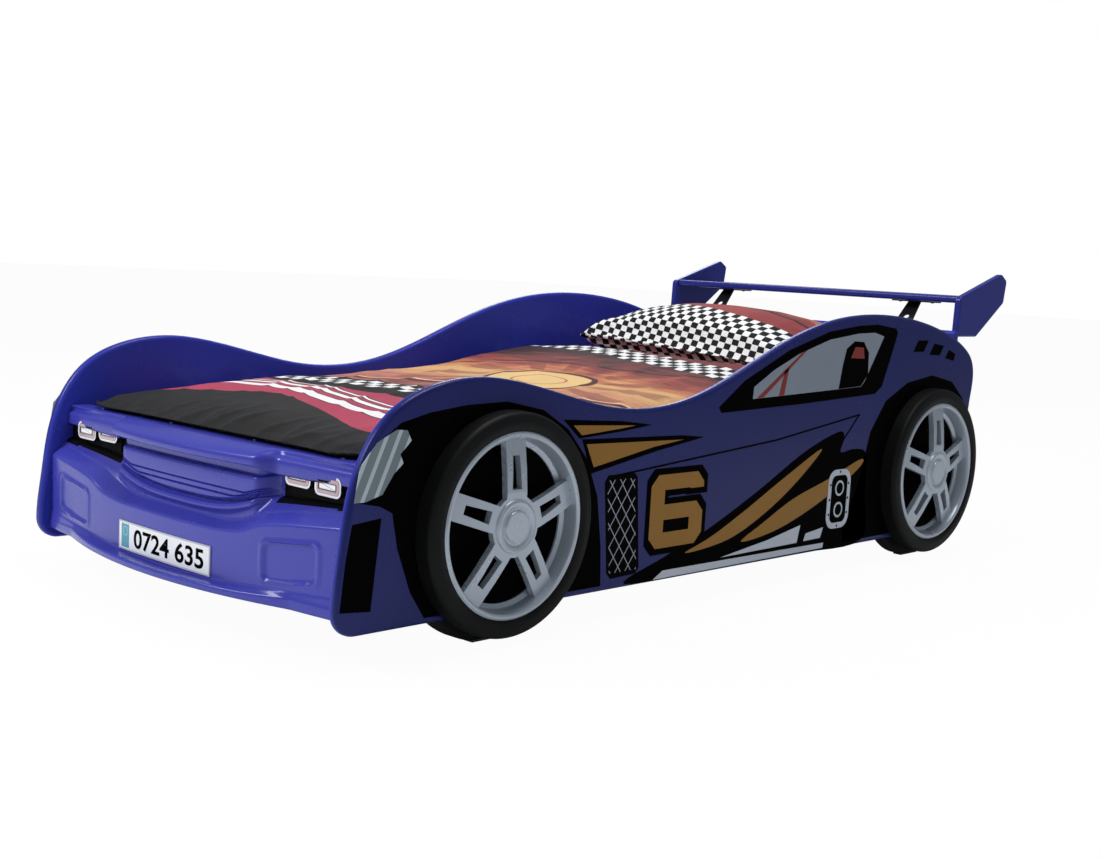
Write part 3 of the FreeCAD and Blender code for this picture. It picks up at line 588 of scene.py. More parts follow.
def bumperOutline(x):
    # the section of the skin at a distance from the middle, as places along the bed and heights,
    # from its back edge over the lip, down the mouth and the face to the skirt
    b = bumper
    middle = 1 - ramp(x, 0.24, 0.268)  # 1 over the mouth and 0 over the lamps
    mouth = 1 - ramp(x, 0.228, 0.246)
    # at the ends the lip hangs lower, and the recess floor rises outwards
    drop = mixed(0.0055, 0.0035, (x - 0.27) / 0.21)
    tilt = 0.07 * (max(x, 0.25) - 0.365)
    back = b["lampWall"]
    wall = mixed(back, bow(x, -1.086, 0.1), mouth)
    slat = mixed(back, bow(x, -1.093, 0.1), mouth)
    groove = mixed(back - 0.002, bow(x, -1.083, 0.1), mouth)
    notch = mixed(back, groove, mouth)
    floor = mixed(0.266 + tilt, 0.2315 + 0.03 * (x / 0.235) ** 3, mouth)
    lip = mixed(bow(x, -1.078, 0.06), bow(x, -1.122, 0.3), middle)
    ridge = mixed(bow(x, -1.07, 0.06), bow(x, -1.105, 0.15), middle)
    lipHigh, lipLow = mixed(0.331, 0.333, middle), mixed(0.305 - drop, 0.3115, middle)
    out = [
        (b["back"], b["top"]), (-1.04, b["top"]), (mixed(-1.056, -1.064, middle), b["top"]),
        (mixed(-1.061, -1.069, middle), b["top"] - 0.0008), (ridge + 0.004, lipHigh + 0.0026),
        (ridge, lipHigh), (mixed(ridge, lip, 0.8), lipHigh - 0.004),
        (lip, lipHigh - 0.009), (lip, lipLow + 0.003), (lip + 0.001, lipLow),
        (lip + 0.004, lipLow - 0.0022), (lip + 0.01, lipLow - 0.0026),
    ]
    # the wall of the mouth, or of the lamp recess, under the lip
    for place, atEnd, atMouth in (
        (wall - 0.005, 0.3022, 0.3075), (wall, 0.3018, 0.3055), (wall, 0.3012, 0.2925),
        (notch, 0.3008, 0.2908), (notch, 0.3004, 0.289), (slat + 0.001 * mouth, 0.3, 0.2878),
        (slat, 0.2995, 0.2864),
    ):
        out.append((place, mixed(atEnd - drop, atMouth, mouth)))
    for height, least in b["steps"]:
        step = max(height, floor + least)
        for ahead, up in (
            (0, 0.0019), (0.0006, 0.0009), (0.0042, 0.0004), (0.0042, -0.0006), (-0.0006, -0.0014),
            (-0.0008, -0.0019),
        ):
            out.append((slat + ahead * mouth, step + up))
    out += [
        (slat, floor + 0.0016), (slat + 0.001 * mouth, floor + 0.0002),
        (groove, mixed(0.265 + tilt, floor - 0.0012, mouth)),
        (groove - 0.001 * (1 - mouth), mixed(0.2645 + tilt, floor - 0.0078, mouth)),
    ]
    for atEnd, endHigh, atMouth, under in (
        (-1.0565, 0.264, -1.0972, 0.009), (-1.0585, 0.2634, -1.1, 0.0108), (-1.06, 0.2628, -1.1008, 0.016),
        (-1.0615, 0.262, -1.0998, 0.0206), (-1.064, 0.2605, -1.0965, 0.0222),
    ):
        out.append((mixed(atEnd, bow(x, atMouth, 0.1), mouth), mixed(endHigh + tilt, floor - under, mouth)))
    fromY, fromZ = out[-1]
    bevelY, bevelZ = bow(x, -1.096, 0.1), easedHeight(x, b["bevelTop"])
    face, foot, ledge = bow(x, *b["face"]), easedHeight(x, b["bevelFoot"]), easedHeight(x, b["ledge"])
    out += [
        (mixed(fromY, bevelY, 0.5) + 0.002 * mouth, mixed(fromZ, bevelZ, 0.5)),
        (bevelY + 0.001 * mouth, mixed(fromZ, bevelZ, 0.85)), (bevelY - 0.001, bevelZ),
        (mixed(bevelY, face, 0.14), mixed(bevelZ, foot, 0.12)),
        (mixed(bevelY, face, 0.5), mixed(bevelZ, foot, 0.5)),
        (mixed(bevelY, face, 0.88), mixed(bevelZ, foot, 0.9)),
        (face + 0.0008, foot - 0.0008), (face, foot - 0.004),
    ]
    for k in range(1, b["faceRows"] + 1):
        out.append((face, mixed(foot - 0.004, ledge + 0.004, k / b["faceRows"])))
    nose = min(bow(x, *b["nose"]), face - 0.004)
    gap = face - nose
    skirtTop = 0.096 + 0.005 * ramp(x, 0.22, 0.37)
    out += [
        (face - 0.0006, ledge + 0.0012), (face - min(0.004, 0.3 * gap), ledge + 0.0002),
        (mixed(face, nose, 0.5), mixed(ledge, skirtTop, 0.5)),
        (nose + min(0.004, 0.25 * gap), skirtTop + 0.0003), (nose + min(0.001, 0.1 * gap), skirtTop - 0.0009),
        (nose, skirtTop - 0.004), (nose, b["skirt"] + 0.004),
        (nose + 0.001, b["skirt"] + 0.0012), (nose + 0.004, b["skirt"]), (nose + 0.014, b["skirt"]),
    ]
    return out


def fogPanelDepth(x, y, z):
    # each fog panel is sunk, with a low rim round it
    fog = bumper["fogPanel"]
    out = abs(x) - fog["middle"][0]
    dx, dz = out / fog["half"][0], (z - fog["middle"][1] - fog["slope"] * out) / fog["half"][1]
    edge = (abs(dx) ** 7 + abs(dz) ** 7) ** (1 / 7)
    if y > -1.06 or edge > 1.3 or z > 0.215:
        return 0
    rim = fog["rim"] * (1 - ramp(edge, 1.05, 1.18))
    if edge > 1:
        rim *= ramp(edge, 1.16, 1.07)
    return fog["deep"] * (1 - ramp(edge, 0.88, 0.99)) - rim


def makeBumper():
    b = bumper
    rows = len(bumperOutline(0.0))
    columns = b["columns"] + 1
    obj = added(
        "bumperMoulding", bpy.ops.mesh.primitive_grid_add,
        x_subdivisions=columns - 1, y_subdivisions=rows - 1, size=1,
    )
    for i in range(columns):
        x = b["half"] * (2 * i / (columns - 1) - 1)
        section = bumperOutline(abs(x))
        for j in range(rows):
            y, z = section[j]
            obj.data.vertices[j * columns + i].co = (x, y, z)
    smooth = obj.modifiers.new("smooth", "SUBSURF")
    smooth.levels = smooth.render_levels = 1
    applyAll(obj)
    for vertex in obj.data.vertices:
        vertex.co.y += fogPanelDepth(*vertex.co)
    outward(obj)
    if sum(f.normal.y * f.area for f in obj.data.polygons) > 0:
        obj.data.flip_normals()
    thicken(obj, b["wall"])
    paintWith(obj, "bumper", "trim")
    # painted shade: the bumper faces in the lamp recess take the black trim, standing in for the shadow there
    for face in obj.data.polygons:
        x, y, z = face.center
        if abs(x) > b["recess"][0] and y > b["recess"][1] and b["recess"][2] < z < b["recess"][3]:
            face.material_index = 1
    softShade(obj, 55)
    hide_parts("front_bumper")
    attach(obj, "bed_frame")


lamp = {
    "places": ((0.32, 0.2836), (0.404, 0.2785)),  # middle and foot of each lamp
    "width": 0.072, "top": 0.314, "corner": 0.012, "y": -1.0545, "deep": 0.0125,
    # inset, depth and material of the ring, a painted shadow line, the bowl, a second painted shadow line and
    # the lens
    "steps": (
        (0.0042, 0.0, 0), (0.0007, 0.0006, 1), (0.0062, 0.0016, 2), (0.0014, 0.0, 1), (0.0, -0.002, 3),
    ),
}


def lampMaterials():
    for name, colour, rough, glow in (
        ("lampRing", linear(236, 236, 240), 0.2, 0.12),
        ("lampShadow", linear(24, 24, 27), 0.4, 0.0),
        ("lampBowl", linear(206, 176, 180), 0.15, 0.1),
        ("lampGlass", linear(238, 240, 246), 0.06, 0.25),
    ):
        mat, w, bsdf, place = newMaterial(name)
        ribs = w.sine(w.split(place)[0], 1900.0)
        darker = tuple(c * 0.82 for c in colour[:3]) + (1,)
        w.put(bsdf["Base Color"], w.mix(w.noise(place, 60.0), colour, darker))
        worn(w, bsdf, place, rough, rough + 0.08)
        bsdf["Coat Weight"].default_value = 0.8
        # painted light: the ring, bowl and lens glow faintly, so they look brighter than the lighting makes
        # them
        if glow:
            bsdf["Emission Color"].default_value = colour
            bsdf["Emission Strength"].default_value = glow
            w.put(bsdf["Normal"], w.bump(ribs, 0.35, 0.001))
        mats[name] = mat


def makeLamps():
    lampMaterials()
    for side, sign in sides.items():
        made = []
        for x, foot in lamp["places"]:
            high = lamp["top"] - foot
            loop = roundBox((sign * x, foot + high / 2), lamp["width"], high, lamp["corner"])
            obj = flatPiece("lampBlank", [(px, lamp["y"], pz) for px, pz in reversed(loop)])
            paintWith(obj, "lampRing", "lampShadow", "lampBowl", "lampGlass")
            pick(obj)
            if obj.data.polygons[0].normal.y > 0:
                obj.data.flip_normals()
            bpy.ops.object.mode_set(mode="EDIT")
            bpy.ops.mesh.select_mode(type="FACE")
            bpy.ops.mesh.select_all(action="SELECT")
            bpy.ops.mesh.extrude_region_move(TRANSFORM_OT_translate={"value": (0, -lamp["deep"], 0)})
            for width, deep, slotIndex in lamp["steps"]:
                obj.active_material_index = slotIndex
                bpy.ops.object.material_slot_assign()
                if width:
                    bpy.ops.mesh.inset(thickness=width, depth=0)
                if deep:
                    bpy.ops.mesh.extrude_region_move(TRANSFORM_OT_translate={"value": (0, -deep, 0)})
            bpy.ops.object.mode_set(mode="OBJECT")
            # painted shade: the side walls of the ring take the lampShadow material
            for face in obj.data.polygons:
                if abs(face.normal.y) < 0.5 and face.material_index == 0:
                    face.material_index = 1
            edge = obj.modifiers.new("edge", "BEVEL")
            edge.width, edge.segments, edge.limit_method = 0.0008, 2, "ANGLE"
            applyAll(obj)
            softShade(obj)
            made.append(obj)
        lamps = join(f"headlamps_{side}", made)
        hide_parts(f"headlamp_lenses_{side}")
        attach(lamps, "bed_frame")


plate = {
    "half": 0.156, "low": 0.1, "high": 0.156, "band": 0.04, "front": -1.1376, "rise": 0.15,
    "digits": "0724 635", "middle": 0.02, "wide": 0.236, "tall": 0.038,
    "rim": 0.003, "bandStart": 0.01, "bandRim": 0.005,
    "ring": (0.025, 0.037), "ringRadii": (0.0075, 0.0095),  # a plain ring in the coloured band
}


def makePlate():
    mat, w, bsdf, place = newMaterial("printedPlate")
    x, _, z = w.split(place)
    half, low, high, rim = (plate[k] for k in ("half", "low", "high", "rim"))
    inside = w.times(w.within(x, -half + rim, half - rim), w.within(z, low + rim, high - rim))
    band = w.within(x, -half + plate["bandStart"], -half + plate["band"])
    band = w.times(band, w.within(z, low + plate["bandRim"], high - plate["bandRim"]))
    along, up = plate["ring"]
    far = w.far(w.math("ADD", x, half - along), w.math("SUBTRACT", z, low + up))
    ring = w.within(far, *plate["ringRadii"])
    colour = w.mix(inside, linear(190, 193, 198), paint["white"])
    colour = w.mix(band, colour, paint["teal"])
    colour = w.mix(w.times(ring, 0.5), colour, linear(180, 216, 226))
    w.put(bsdf["Base Color"], colour)
    worn(w, bsdf, place, 0.3, 0.42)
    for slot in nodes["number_plate"].material_slots:
        slot.material = mat
    bpy.ops.object.select_all(action="DESELECT")
    bpy.ops.object.text_add()
    text = bpy.context.object
    text.data.body = plate["digits"]
    text.data.align_x, text.data.align_y = "CENTER", "CENTER"
    text.data.resolution_u = 4
    text.data.extrude = 0.0003
    text.data.offset = 0.02
    bpy.ops.object.convert(target="MESH")
    text = bpy.context.object
    text.name = text.data.name = "plateDigits"
    low, high = (Vector(map(way, zip(*(v.co for v in text.data.vertices)))) for way in (min, max))
    middle, size = (low + high) / 2, high - low
    for v in text.data.vertices:
        x = (v.co.x - middle.x) * plate["wide"] / size.x + plate["middle"]
        z = (v.co.y - middle.y) * plate["tall"] / size.y + (plate["low"] + plate["high"]) / 2
        v.co = (x, bow(x, plate["front"], plate["rise"]) - v.co.z, z)
    outward(text)
    paintWith(text, "black")
    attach(text, "bed_frame")


flank = {"face": 0.511, "sheet": 0.0004, "sunk": 0.0003}  # where the vinyl lies, and its thickness
# outlines on the flanks in millimetres, as places along the bed and heights
archRear = [
    (400, 70), (392, 100), (452, 215), (486, 330), (545, 402), (640, 444), (757, 460), (860, 442),
    (925, 396), (947, 300), (940, 180), (935, 72),
]
archFront = [
    (-930, 70), (-468, 70), (-474, 150), (-492, 250), (-528, 325), (-585, 385), (-655, 424),
    (-750, 443), (-850, 440), (-935, 430), (-1000, 415), (-1045, 385), (-1072, 345), (-1086, 285),
    (-1040, 276), (-1012, 262), (-998, 200), (-965, 120),
]
livery = [
    # name, colour, layer, outline
    ("archFront", "black", 0, archFront),
    ("archRear", "black", 0, archRear),
    ("cornerBlock", "black", 0, [
        (-1118, 104), (-1052, 98), (-1036, 256), (-1098, 250), (-1109, 190),
    ]),
    ("windowFrame", "black", 0, [
        (-122, 410), (-112, 398), (180, 407), (490, 421), (520, 438), (560, 530), (574, 566),
        (565, 577), (480, 586), (400, 583), (276, 569), (122, 528), (-37, 464),
    ]),
    ("windowPane", "glass", 1, [
        (-4, 424), (425, 440), (440, 452), (512, 558), (470, 567), (400, 565), (280, 551), (161, 520),
        (70, 486), (-2, 450),
    ]),
    ("windowBarA", "red", 2, [(10, 425), (34, 426), (190, 528), (168, 521)]),
    ("windowBarB", "red", 2, [(92, 428), (112, 429), (124, 490), (108, 483)]),
    ("windowSeat", "black", 2, [
        (330, 437), (424, 441), (452, 468), (448, 520), (424, 545), (384, 547), (352, 530), (340, 490),
    ]),
    ("windowSeatPad", "red", 3, [(372, 508), (430, 506), (424, 532), (388, 534)]),
    ("wrapLens", "silver", 1, [
        (-1096, 286), (-1072, 286), (-1036, 296), (-1012, 330), (-992, 346), (-1000, 362), (-976, 384),
        (-986, 402), (-1010, 404), (-1052, 384), (-1086, 345),
    ]),
    ("sillStrip", "silver", 1, [(-307, 63), (315, 65), (316, 77), (-276, 79)]),
    ("ventPlate", "black", 0, [
        (-462, 289), (-472, 276), (-452, 94), (-440, 81), (-364, 83), (-354, 94), (-374, 280),
        (-384, 290),
    ]),
    ("streakA", "black", 0, [(-545, 364), (-515, 296), (-320, 329), (-164, 350), (-240, 357)]),
    ("streakGoldA", "gold", 1, [(-532, 354), (-508, 308), (-330, 338), (-235, 348)]),
    ("streakB", "black", 0, [(-600, 404), (-553, 366), (-430, 374), (-338, 383), (-430, 394)]),
    ("streakGoldB", "gold", 1, [(-572, 392), (-547, 372), (-430, 380), (-390, 384)]),
    ("sweepBlack", "black", 0, smoothLoop([
        (-395, 65), (-270, 108), (-130, 152), (40, 220), (210, 296), (345, 336), (372, 322), (362, 288),
        (420, 292), (474, 276), (482, 180), (478, 67), (200, 63), (-100, 63),
    ])),
    ("sweepGoldUpper", "gold", 2, smoothLoop([
        (-205, 108), (-60, 122), (70, 168), (190, 232), (280, 300), (140, 244), (-10, 178), (-120, 134),
    ])),
    ("sweepGoldLower", "gold", 2, smoothLoop([
        (-10, 112), (130, 128), (300, 180), (440, 242), (452, 266), (320, 228), (180, 192), (70, 148),
    ])),
    ("sweepSilver", "silver", 2, [(-80, 85), (205, 88), (215, 128), (90, 106)]),
    ("sweepSilverB", "silver", 2, [(232, 89), (300, 90), (310, 114), (240, 106)]),
    ("tailStripeA", "black", 0, [(655, 520), (705, 520), (725, 548), (675, 548)]),
    ("tailStripeB", "black", 0, [(735, 512), (785, 510), (803, 534), (755, 540)]),
    ("tailStripeC", "black", 0, [(815, 503), (858, 495), (866, 512), (832, 524)]),
]
seam = {
    "path": [(-0.44, 0.287), (0.1, 0.33), (0.43, 0.373), (0.33, 0.28), (0.262, 0.17)],
    "width": 0.0035,
}
outlet = {
    "middle": (0.366, 0.177), "half": (0.047, 0.07), "corner": 0.03, "rim": 0.014,
    "pipes": 0.0255, "pipe": 0.0185,  # how far a pipe is from the middle, and its radius
    "bolt": 0.003, "boltsAlong": 0.81, "boltsUp": 0.5, "boltsEnd": 0.92,
}
number = {
    "middle": (-0.243, 0.203), "half": (0.086, 0.076), "bars": (0.044, 0.032), "corner": 0.022,
    "bowl": 0.014, "stub": 0.002, "edge": 0.013,
}
vent = {
    "mesh": 0.031, "lean": 0.75, "wire": 0.13,
    "foot": 0.092, "top": 0.279, "front": -0.434, "back": -0.352, "slope": 0.11,
}


def onFlank(name, outline, sign, layer, key):
    # a thin sheet of vinyl with that outline on the outer face of a side panel
    front = flank["face"] + flank["sheet"] * (layer + 1)
    turning = sum(a[0] * b[1] - b[0] * a[1] for a, b in zip(outline, outline[1:] + outline[:1]))
    points = outline if (turning > 0) == (sign > 0) else outline[::-1]
    obj = flatPiece(name, [(sign * front, y, z) for y, z in points])
    thicken(obj, front - flank["face"] + flank["sunk"])
    paintWith(obj, key)
    return obj


def seamStrips():
    # the thin door line, one strip for each of its runs
    path = [Vector(p) for p in seam["path"]]
    for start, end in zip(path, path[1:]):
        ahead = (end - start).normalized()
        across = Vector((-ahead.y, ahead.x)) * seam["width"] / 2
        start, end = start - ahead * seam["width"] / 2, end + ahead * seam["width"] / 2
        yield [tuple(p) for p in (start - across, end - across, end + across, start + across)]


def ventMaterial():
    mat, w, bsdf, place = newMaterial("ventMesh")
    _, y, z = w.split(place)
    lines = []
    for way in (1.0, -1.0):
        slant = w.timesPlus(z, vent["lean"] * way, y)
        lines.append(w.math("ABSOLUTE", w.sine(slant, math.pi / vent["mesh"])))
    wire = w.math("LESS_THAN", w.math("MINIMUM", *lines), vent["wire"])
    leaning = w.timesPlus(z, vent["slope"], y)
    inside = w.within(leaning, vent["front"], vent["back"])
    wire = w.times(wire, w.times(w.within(z, vent["foot"], vent["top"]), inside))
    bsdf["Specular IOR Level"].default_value = 0.01
    w.put(bsdf["Base Color"], w.mix(wire, linear(4, 4, 5), linear(158, 164, 176)))
    worn(w, bsdf, place, 0.34, 0.46)
    mats["vent"] = mat


def wrapMaterial():
    # pale slanting bands on the grey lens print
    mat, w, bsdf, place = newMaterial("lensStripes")
    _, y, z = w.split(place)
    slant = w.timesPlus(z, -0.45, y)
    band = w.sine(slant, 2 * math.pi / 0.027)
    stripes = w.mix(w.scaled(band, 0.45, 0.6), linear(104, 118, 126), linear(172, 184, 192))
    w.put(bsdf["Base Color"], stripes)
    worn(w, bsdf, place, 0.28, 0.4)
    mats["wrap"] = mat


def digitBars(grow):
    # a square-cut six from five bars that meet at mitred joints
    w, h = (v + grow for v in number["half"])
    bw, bh = (v + 2 * grow for v in number["bars"])
    c, m, stub = number["corner"], number["bowl"] + grow, h - bh - number["stub"]
    yield [(-w, h - c), (-w + c, h), (w - c, h), (w, h - c), (w, stub), (w - bw, stub),
           (w - bw, h - bh), (-w + bw, h - bh)]
    yield [(-w, -h + c), (-w, h - c), (-w + bw, h - bh), (-w + bw, -h + bh)]
    yield [(-w + c, -h), (-w, -h + c), (-w + bw, -h + bh), (w - bw, -h + bh), (w, -h + c), (w - c, -h)]
    yield [(w - bw, -h + bh), (w - bw, m - bh), (w, m - c), (w, -h + c)]
    yield [(-w + bw, m - bh), (-w + bw, m), (w - c, m), (w, m - c), (w - bw, m - bh)]


def digitOn(sign, grow, layer, key):
    middle = number["middle"]
    return [
        onFlank("digitBar", [(middle[0] + sign * y, middle[1] + z) for y, z in bar], sign, layer, key)
        for bar in digitBars(grow)
    ]


def outletOn(sign):
    # an oblong plate with bolts round its rim and two pipe ends in it
    (y0, z0), (dy, dz), corner = outlet["middle"], outlet["half"], outlet["corner"]
    made = []
    for inset, layer, key in ((0.0, 3, "silver"), (outlet["rim"], 4, "black")):
        oblong = roundBox((y0, z0), 2 * (dy - inset), 2 * (dz - inset), corner - inset)
        made.append(onFlank("outletPlate", oblong, sign, layer, key))
    for way in (-1, 1):
        for radius, layer, key in ((1.0, 5, "silver"), (0.72, 6, "black")):
            r = radius * outlet["pipe"]
            pipe = roundBox((y0, z0 + way * outlet["pipes"]), 2 * r, 2 * r, r, 8)
            made.append(onFlank("outletPipe", pipe, sign, layer, key))
    along, up, end, r = (outlet[k] for k in ("boltsAlong", "boltsUp", "boltsEnd", "bolt"))
    spots = [(y, z) for y in (-along, along) for z in (-up, 0, up)] + [(0, -end), (0, end)]
    for y, z in spots:
        bolt = roundBox((y0 + y * dy, z0 + z * dz), 2 * r, 2 * r, r, 3)
        made.append(onFlank("outletBolt", bolt, sign, 4, "black"))
    return made


def makeLivery():
    ventMaterial()
    wrapMaterial()
    special = {"ventPlate": "vent", "wrapLens": "wrap"}
    for side, sign in sides.items():
        made = [
            onFlank(name, [(y / 1000, z / 1000) for y, z in outline], sign, layer, special.get(name, key))
            for name, key, layer, outline in livery
        ]
        made += [onFlank("doorSeam", strip, sign, 1, "black") for strip in seamStrips()]
        made += outletOn(sign)
        made += digitOn(sign, number["edge"], 1, "black") + digitOn(sign, 0.0, 2, "gold")
        whole = join(f"livery_{side}", made)
        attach(whole, "bed_frame")


duvet = {
    "voxel": 0.008, "shrink": 0.005, "cap": 0.008, "pressure": 3.0, "square": 0.027,
    "half": 0.48, "low": 0.3437,
}
pillow = {
    "voxel": 0.006, "shrink": 0.008, "cap": 0.016, "pressure": 4.0, "square": 0.0225,
    "y": 0.594, "z": 0.4785, "turn": -6.0, "tilt": 0.045, "stretch": 1.03,
    "deep": 0.232, "up": 0.11,  # half its section, front to back and upwards
}


def softCopy(node, name, voxel):
    obj = bpy.data.objects.new(name, nodes[node].data.copy())
    scene.collection.objects.link(obj)
    obj.data.name = name
    outward(obj)
    remesh = obj.modifiers.new("remesh", "REMESH")
    remesh.mode = "VOXEL"
    remesh.voxel_size = voxel
    applyAll(obj)
    return obj


def moveOut(obj, distanceAt):
    # moves each point along its normal, with all the normals read first
    normals = [vertex.normal.copy() for vertex in obj.data.vertices]
    for vertex, normal in zip(obj.data.vertices, normals):
        vertex.co += normal * distanceAt(vertex.co, normal)
    obj.data.update()


def puff(obj, values):
    # the cover swells against its own cloth, and no point moves further than the cap
    moveOut(obj, lambda place, normal: -values["shrink"])
    start = [v.co.copy() for v in obj.data.vertices]
    swelling = obj.modifiers.new("cloth", "CLOTH")
    fabric = swelling.settings
    fabric.quality = 5
    fabric.mass = 0.2
    fabric.tension_stiffness = fabric.compression_stiffness = 8
    fabric.shear_stiffness = 4
    fabric.bending_stiffness = 0.3
    fabric.use_pressure = True
    fabric.uniform_pressure_force = values["pressure"]
    fabric.effector_weights.gravity = 0
    for step in range(1, 21):
        scene.frame_set(step)
    shaped = obj.evaluated_get(bpy.context.evaluated_depsgraph_get()).to_mesh()
    moved = [v.co.copy() for v in shaped.vertices]
    obj.modifiers.remove(swelling)
    for vertex, before, after in zip(obj.data.vertices, start, moved):
        step = after - before
        if step.length > values["cap"] + values["shrink"]:
            step *= (values["cap"] + values["shrink"]) / step.length
        vertex.co = before + step
    scene.frame_set(1)


def printedCloth(name, colourOf, threads=2600.0):
    mat, w, bsdf, place = newMaterial(name)
    threaded = w.group(weave, Vector=place, Threads=threads)
    colour = colourOf(w, place)
    dimmer = w.scaled(threaded["Slub"], 0.3, 0.7, 0.9, 1.06)
    shade = w.add("ShaderNodeVectorMath", operation="SCALE")
    w.put(shade.inputs[0], colour)
    w.put(shade.inputs["Scale"], dimmer)
    w.put(bsdf["Base Color"], shade.outputs[0])
    bsdf["Roughness"].default_value = 0.8
    bsdf["Specular IOR Level"].default_value = 0.2
    bsdf["Sheen Weight"].default_value = 0.03
    height = w.timesPlus(w.noise(place, 34.0, 4.0), 2.0, threaded["Height"])
    w.put(bsdf["Normal"], w.bump(height, 0.16, 0.0012))
    return mat


def sunset(w, along, across, place):
    # the warm painted ground of the print, from rose over pale gold to crimson and dark brown
    drift = w.noise(place, 3.0, 5.0, 2.2)
    streak = w.noise(w.join(w.times(across, 1.6), w.times(along, 9.0)), 3.0, 4.0, 1.0)
    spot = w.timesPlus(w.math("SUBTRACT", drift, 0.5), 0.45, along)
    spot = w.timesPlus(w.math("SUBTRACT", streak, 0.5), 0.4, spot)
    return w.ramp(spot, [
        (0.0, linear(128, 74, 70)), (0.15, linear(166, 102, 92)), (0.32, linear(190, 134, 98)),
        (0.5, linear(204, 162, 108)), (0.62, linear(182, 112, 80)), (0.76, linear(140, 66, 62)),
        (0.9, linear(78, 46, 48)), (1.0, linear(56, 36, 40)),
    ])


def duvetColour(w, place):
    x, y, _ = w.split(place)
    square = duvet["square"]
    white, black = linear(226, 226, 226), linear(18, 18, 19)
    boxes = w.group(chequer, U=x, V=y, Size=square)["Mask"]
    warm = sunset(w, w.scaled(y, -0.5, 0.16), x, place)
    # a low sun with rays, in the middle of the warm ground
    dx, dy = w.math("SUBTRACT", x, 0.06), w.math("SUBTRACT", y, -0.2)
    far = w.far(dx, dy)
    rays = w.above(w.sine(w.math("ARCTAN2", dy, dx), 14.0), 0.25, 0.03)
    rays = w.times(rays, w.within(far, 0.15, 0.34, 0.01))
    warm = w.mix(w.times(rays, 0.55), warm, linear(112, 56, 52))
    warm = w.mix(w.within(far, -1.0, 0.12, 0.002), warm, linear(214, 180, 124))
    warm = w.mix(w.within(far, 0.12, 0.134, 0.001), warm, linear(74, 36, 34))
    warm = w.mix(w.within(far, 0.06, 0.066, 0.001), warm, linear(172, 108, 76))
    sway = w.sine(x, 5.2)
    wave = w.timesPlus(sway, 0.035, w.timesPlus(x, -0.3, y))
    dark, pale = linear(58, 34, 34), linear(240, 206, 170)
    for low, high, tone in ((-0.42, -0.404, dark), (-0.396, -0.39, pale), (0.02, 0.032, dark)):
        warm = w.mix(w.within(wave, low, high), warm, tone)
    pink = w.mix(w.noise(place, 4.0, 3.0), linear(178, 66, 90), linear(150, 50, 76))
    sway = w.sine(x, 7.5)
    swing = w.timesPlus(sway, 0.03, w.timesPlus(x, 0.1, y))
    for low, high in ((-0.79, -0.76), (-0.735, -0.718), (-0.7, -0.692)):
        pink = w.mix(w.within(swing, low - 0.004, high + 0.004), pink, black)
        pink = w.mix(w.within(swing, low, high), pink, linear(230, 226, 228))
    saw = w.math("FRACT", w.timesPlus(x, 1.15, 0.62))
    edge = w.timesPlus(w.math("ABSOLUTE", w.math("SUBTRACT", saw, 0.5)), 0.3, y)
    colour = w.mix(w.above(edge, -0.795), linear(27, 27, 28), pink)
    curve = w.timesPlus(w.times(x, x), -0.25, y)
    colour = w.mix(w.above(curve, -0.655), colour, black)
    flag = w.within(y, -22 * square, -19 * square)
    colour = w.mix(flag, colour, w.mix(boxes, black, white))
    colour = w.mix(w.above(curve, -0.505), colour, warm)
    # the band at the head slants across the bed
    lean = w.timesPlus(x, 0.2, y)
    band = w.group(chequer, U=x, V=lean, Size=square)["Mask"]
    colour = w.mix(w.within(lean, 6 * square, 10 * square), colour, w.mix(band, black, white))
    return w.mix(w.above(lean, 10 * square), colour, linear(112, 44, 46))


def pillowColour(w, place):
    node = w.add("ShaderNodeUVMap", uv_map="printed")
    u, across, _ = w.split(node.outputs[0])
    v = w.timesPlus(u, 0.13, across)
    square = pillow["square"]
    boxes = w.group(chequer, U=u, V=v, Size=square)["Mask"]
    warm = sunset(w, w.scaled(v, 0.3, -0.04), u, place)
    crimson = w.mix(w.noise(place, 5.0), linear(158, 74, 74), linear(116, 44, 48))
    warm = w.mix(w.within(v, -0.2, 0.02, 0.002), warm, crimson)
    warm = w.mix(w.within(v, 0.012, 0.02, 0.001), warm, linear(28, 20, 20))
    return w.mix(w.above(v, -3 * square), w.mix(boxes, linear(20, 20, 22), linear(232, 232, 232)), warm)


def mapPillow(obj):
    # the print follows the section, an ellipse, from the front seam over the crown to the back seam
    layer = obj.data.uv_layers.new(name="printed")
    turn = Matrix.Rotation(-math.radians(pillow["turn"]), 3, "Z")
    deep, up = pillow["deep"], pillow["up"]
    arc = [0.0]
    for k in range(90):
        angle = math.radians(2 * k + 1)
        arc.append(arc[-1] + math.radians(2) * math.hypot(deep * math.sin(angle), up * math.cos(angle)))
    for loop in obj.data.loops:
        place = turn @ (obj.data.vertices[loop.vertex_index].co - Vector((0, pillow["y"], pillow["z"])))
        step = math.degrees(math.atan2(abs(place.z) / up, place.y / deep)) / 2
        k = min(int(step), 89)
        layer.data[loop.index].uv = (place.x, arc[45] - mixed(arc[k], arc[k + 1], step - k))


def duvetFolds(p, normal):
    # long soft folds, tight creases at the foot, and dimples near the edges
    up = ramp(p.z, 0.346, 0.36)
    broad = noise.noise(Vector((p.x * 3.0, p.y * 2.2, 1.7))) * 0.006
    fold = (1 - abs(noise.noise(Vector((p.x * 7.0 + p.y * 2, p.y * 4.0, 4.1)))) * 2) ** 3 * 0.004
    foot = 1 - ramp(p.y, -1.06, -0.86)
    pull = (1 - abs(noise.noise(Vector((p.x * 16.0, p.y * 4.5, 9.3)))) * 2) ** 4 * 0.006 * foot
    sag = 0.012 * ramp(p.x, -0.15, 0.42) * ramp(p.y, -0.3, 0.15)
    return up * (broad + fold - 0.003 + pull - sag)


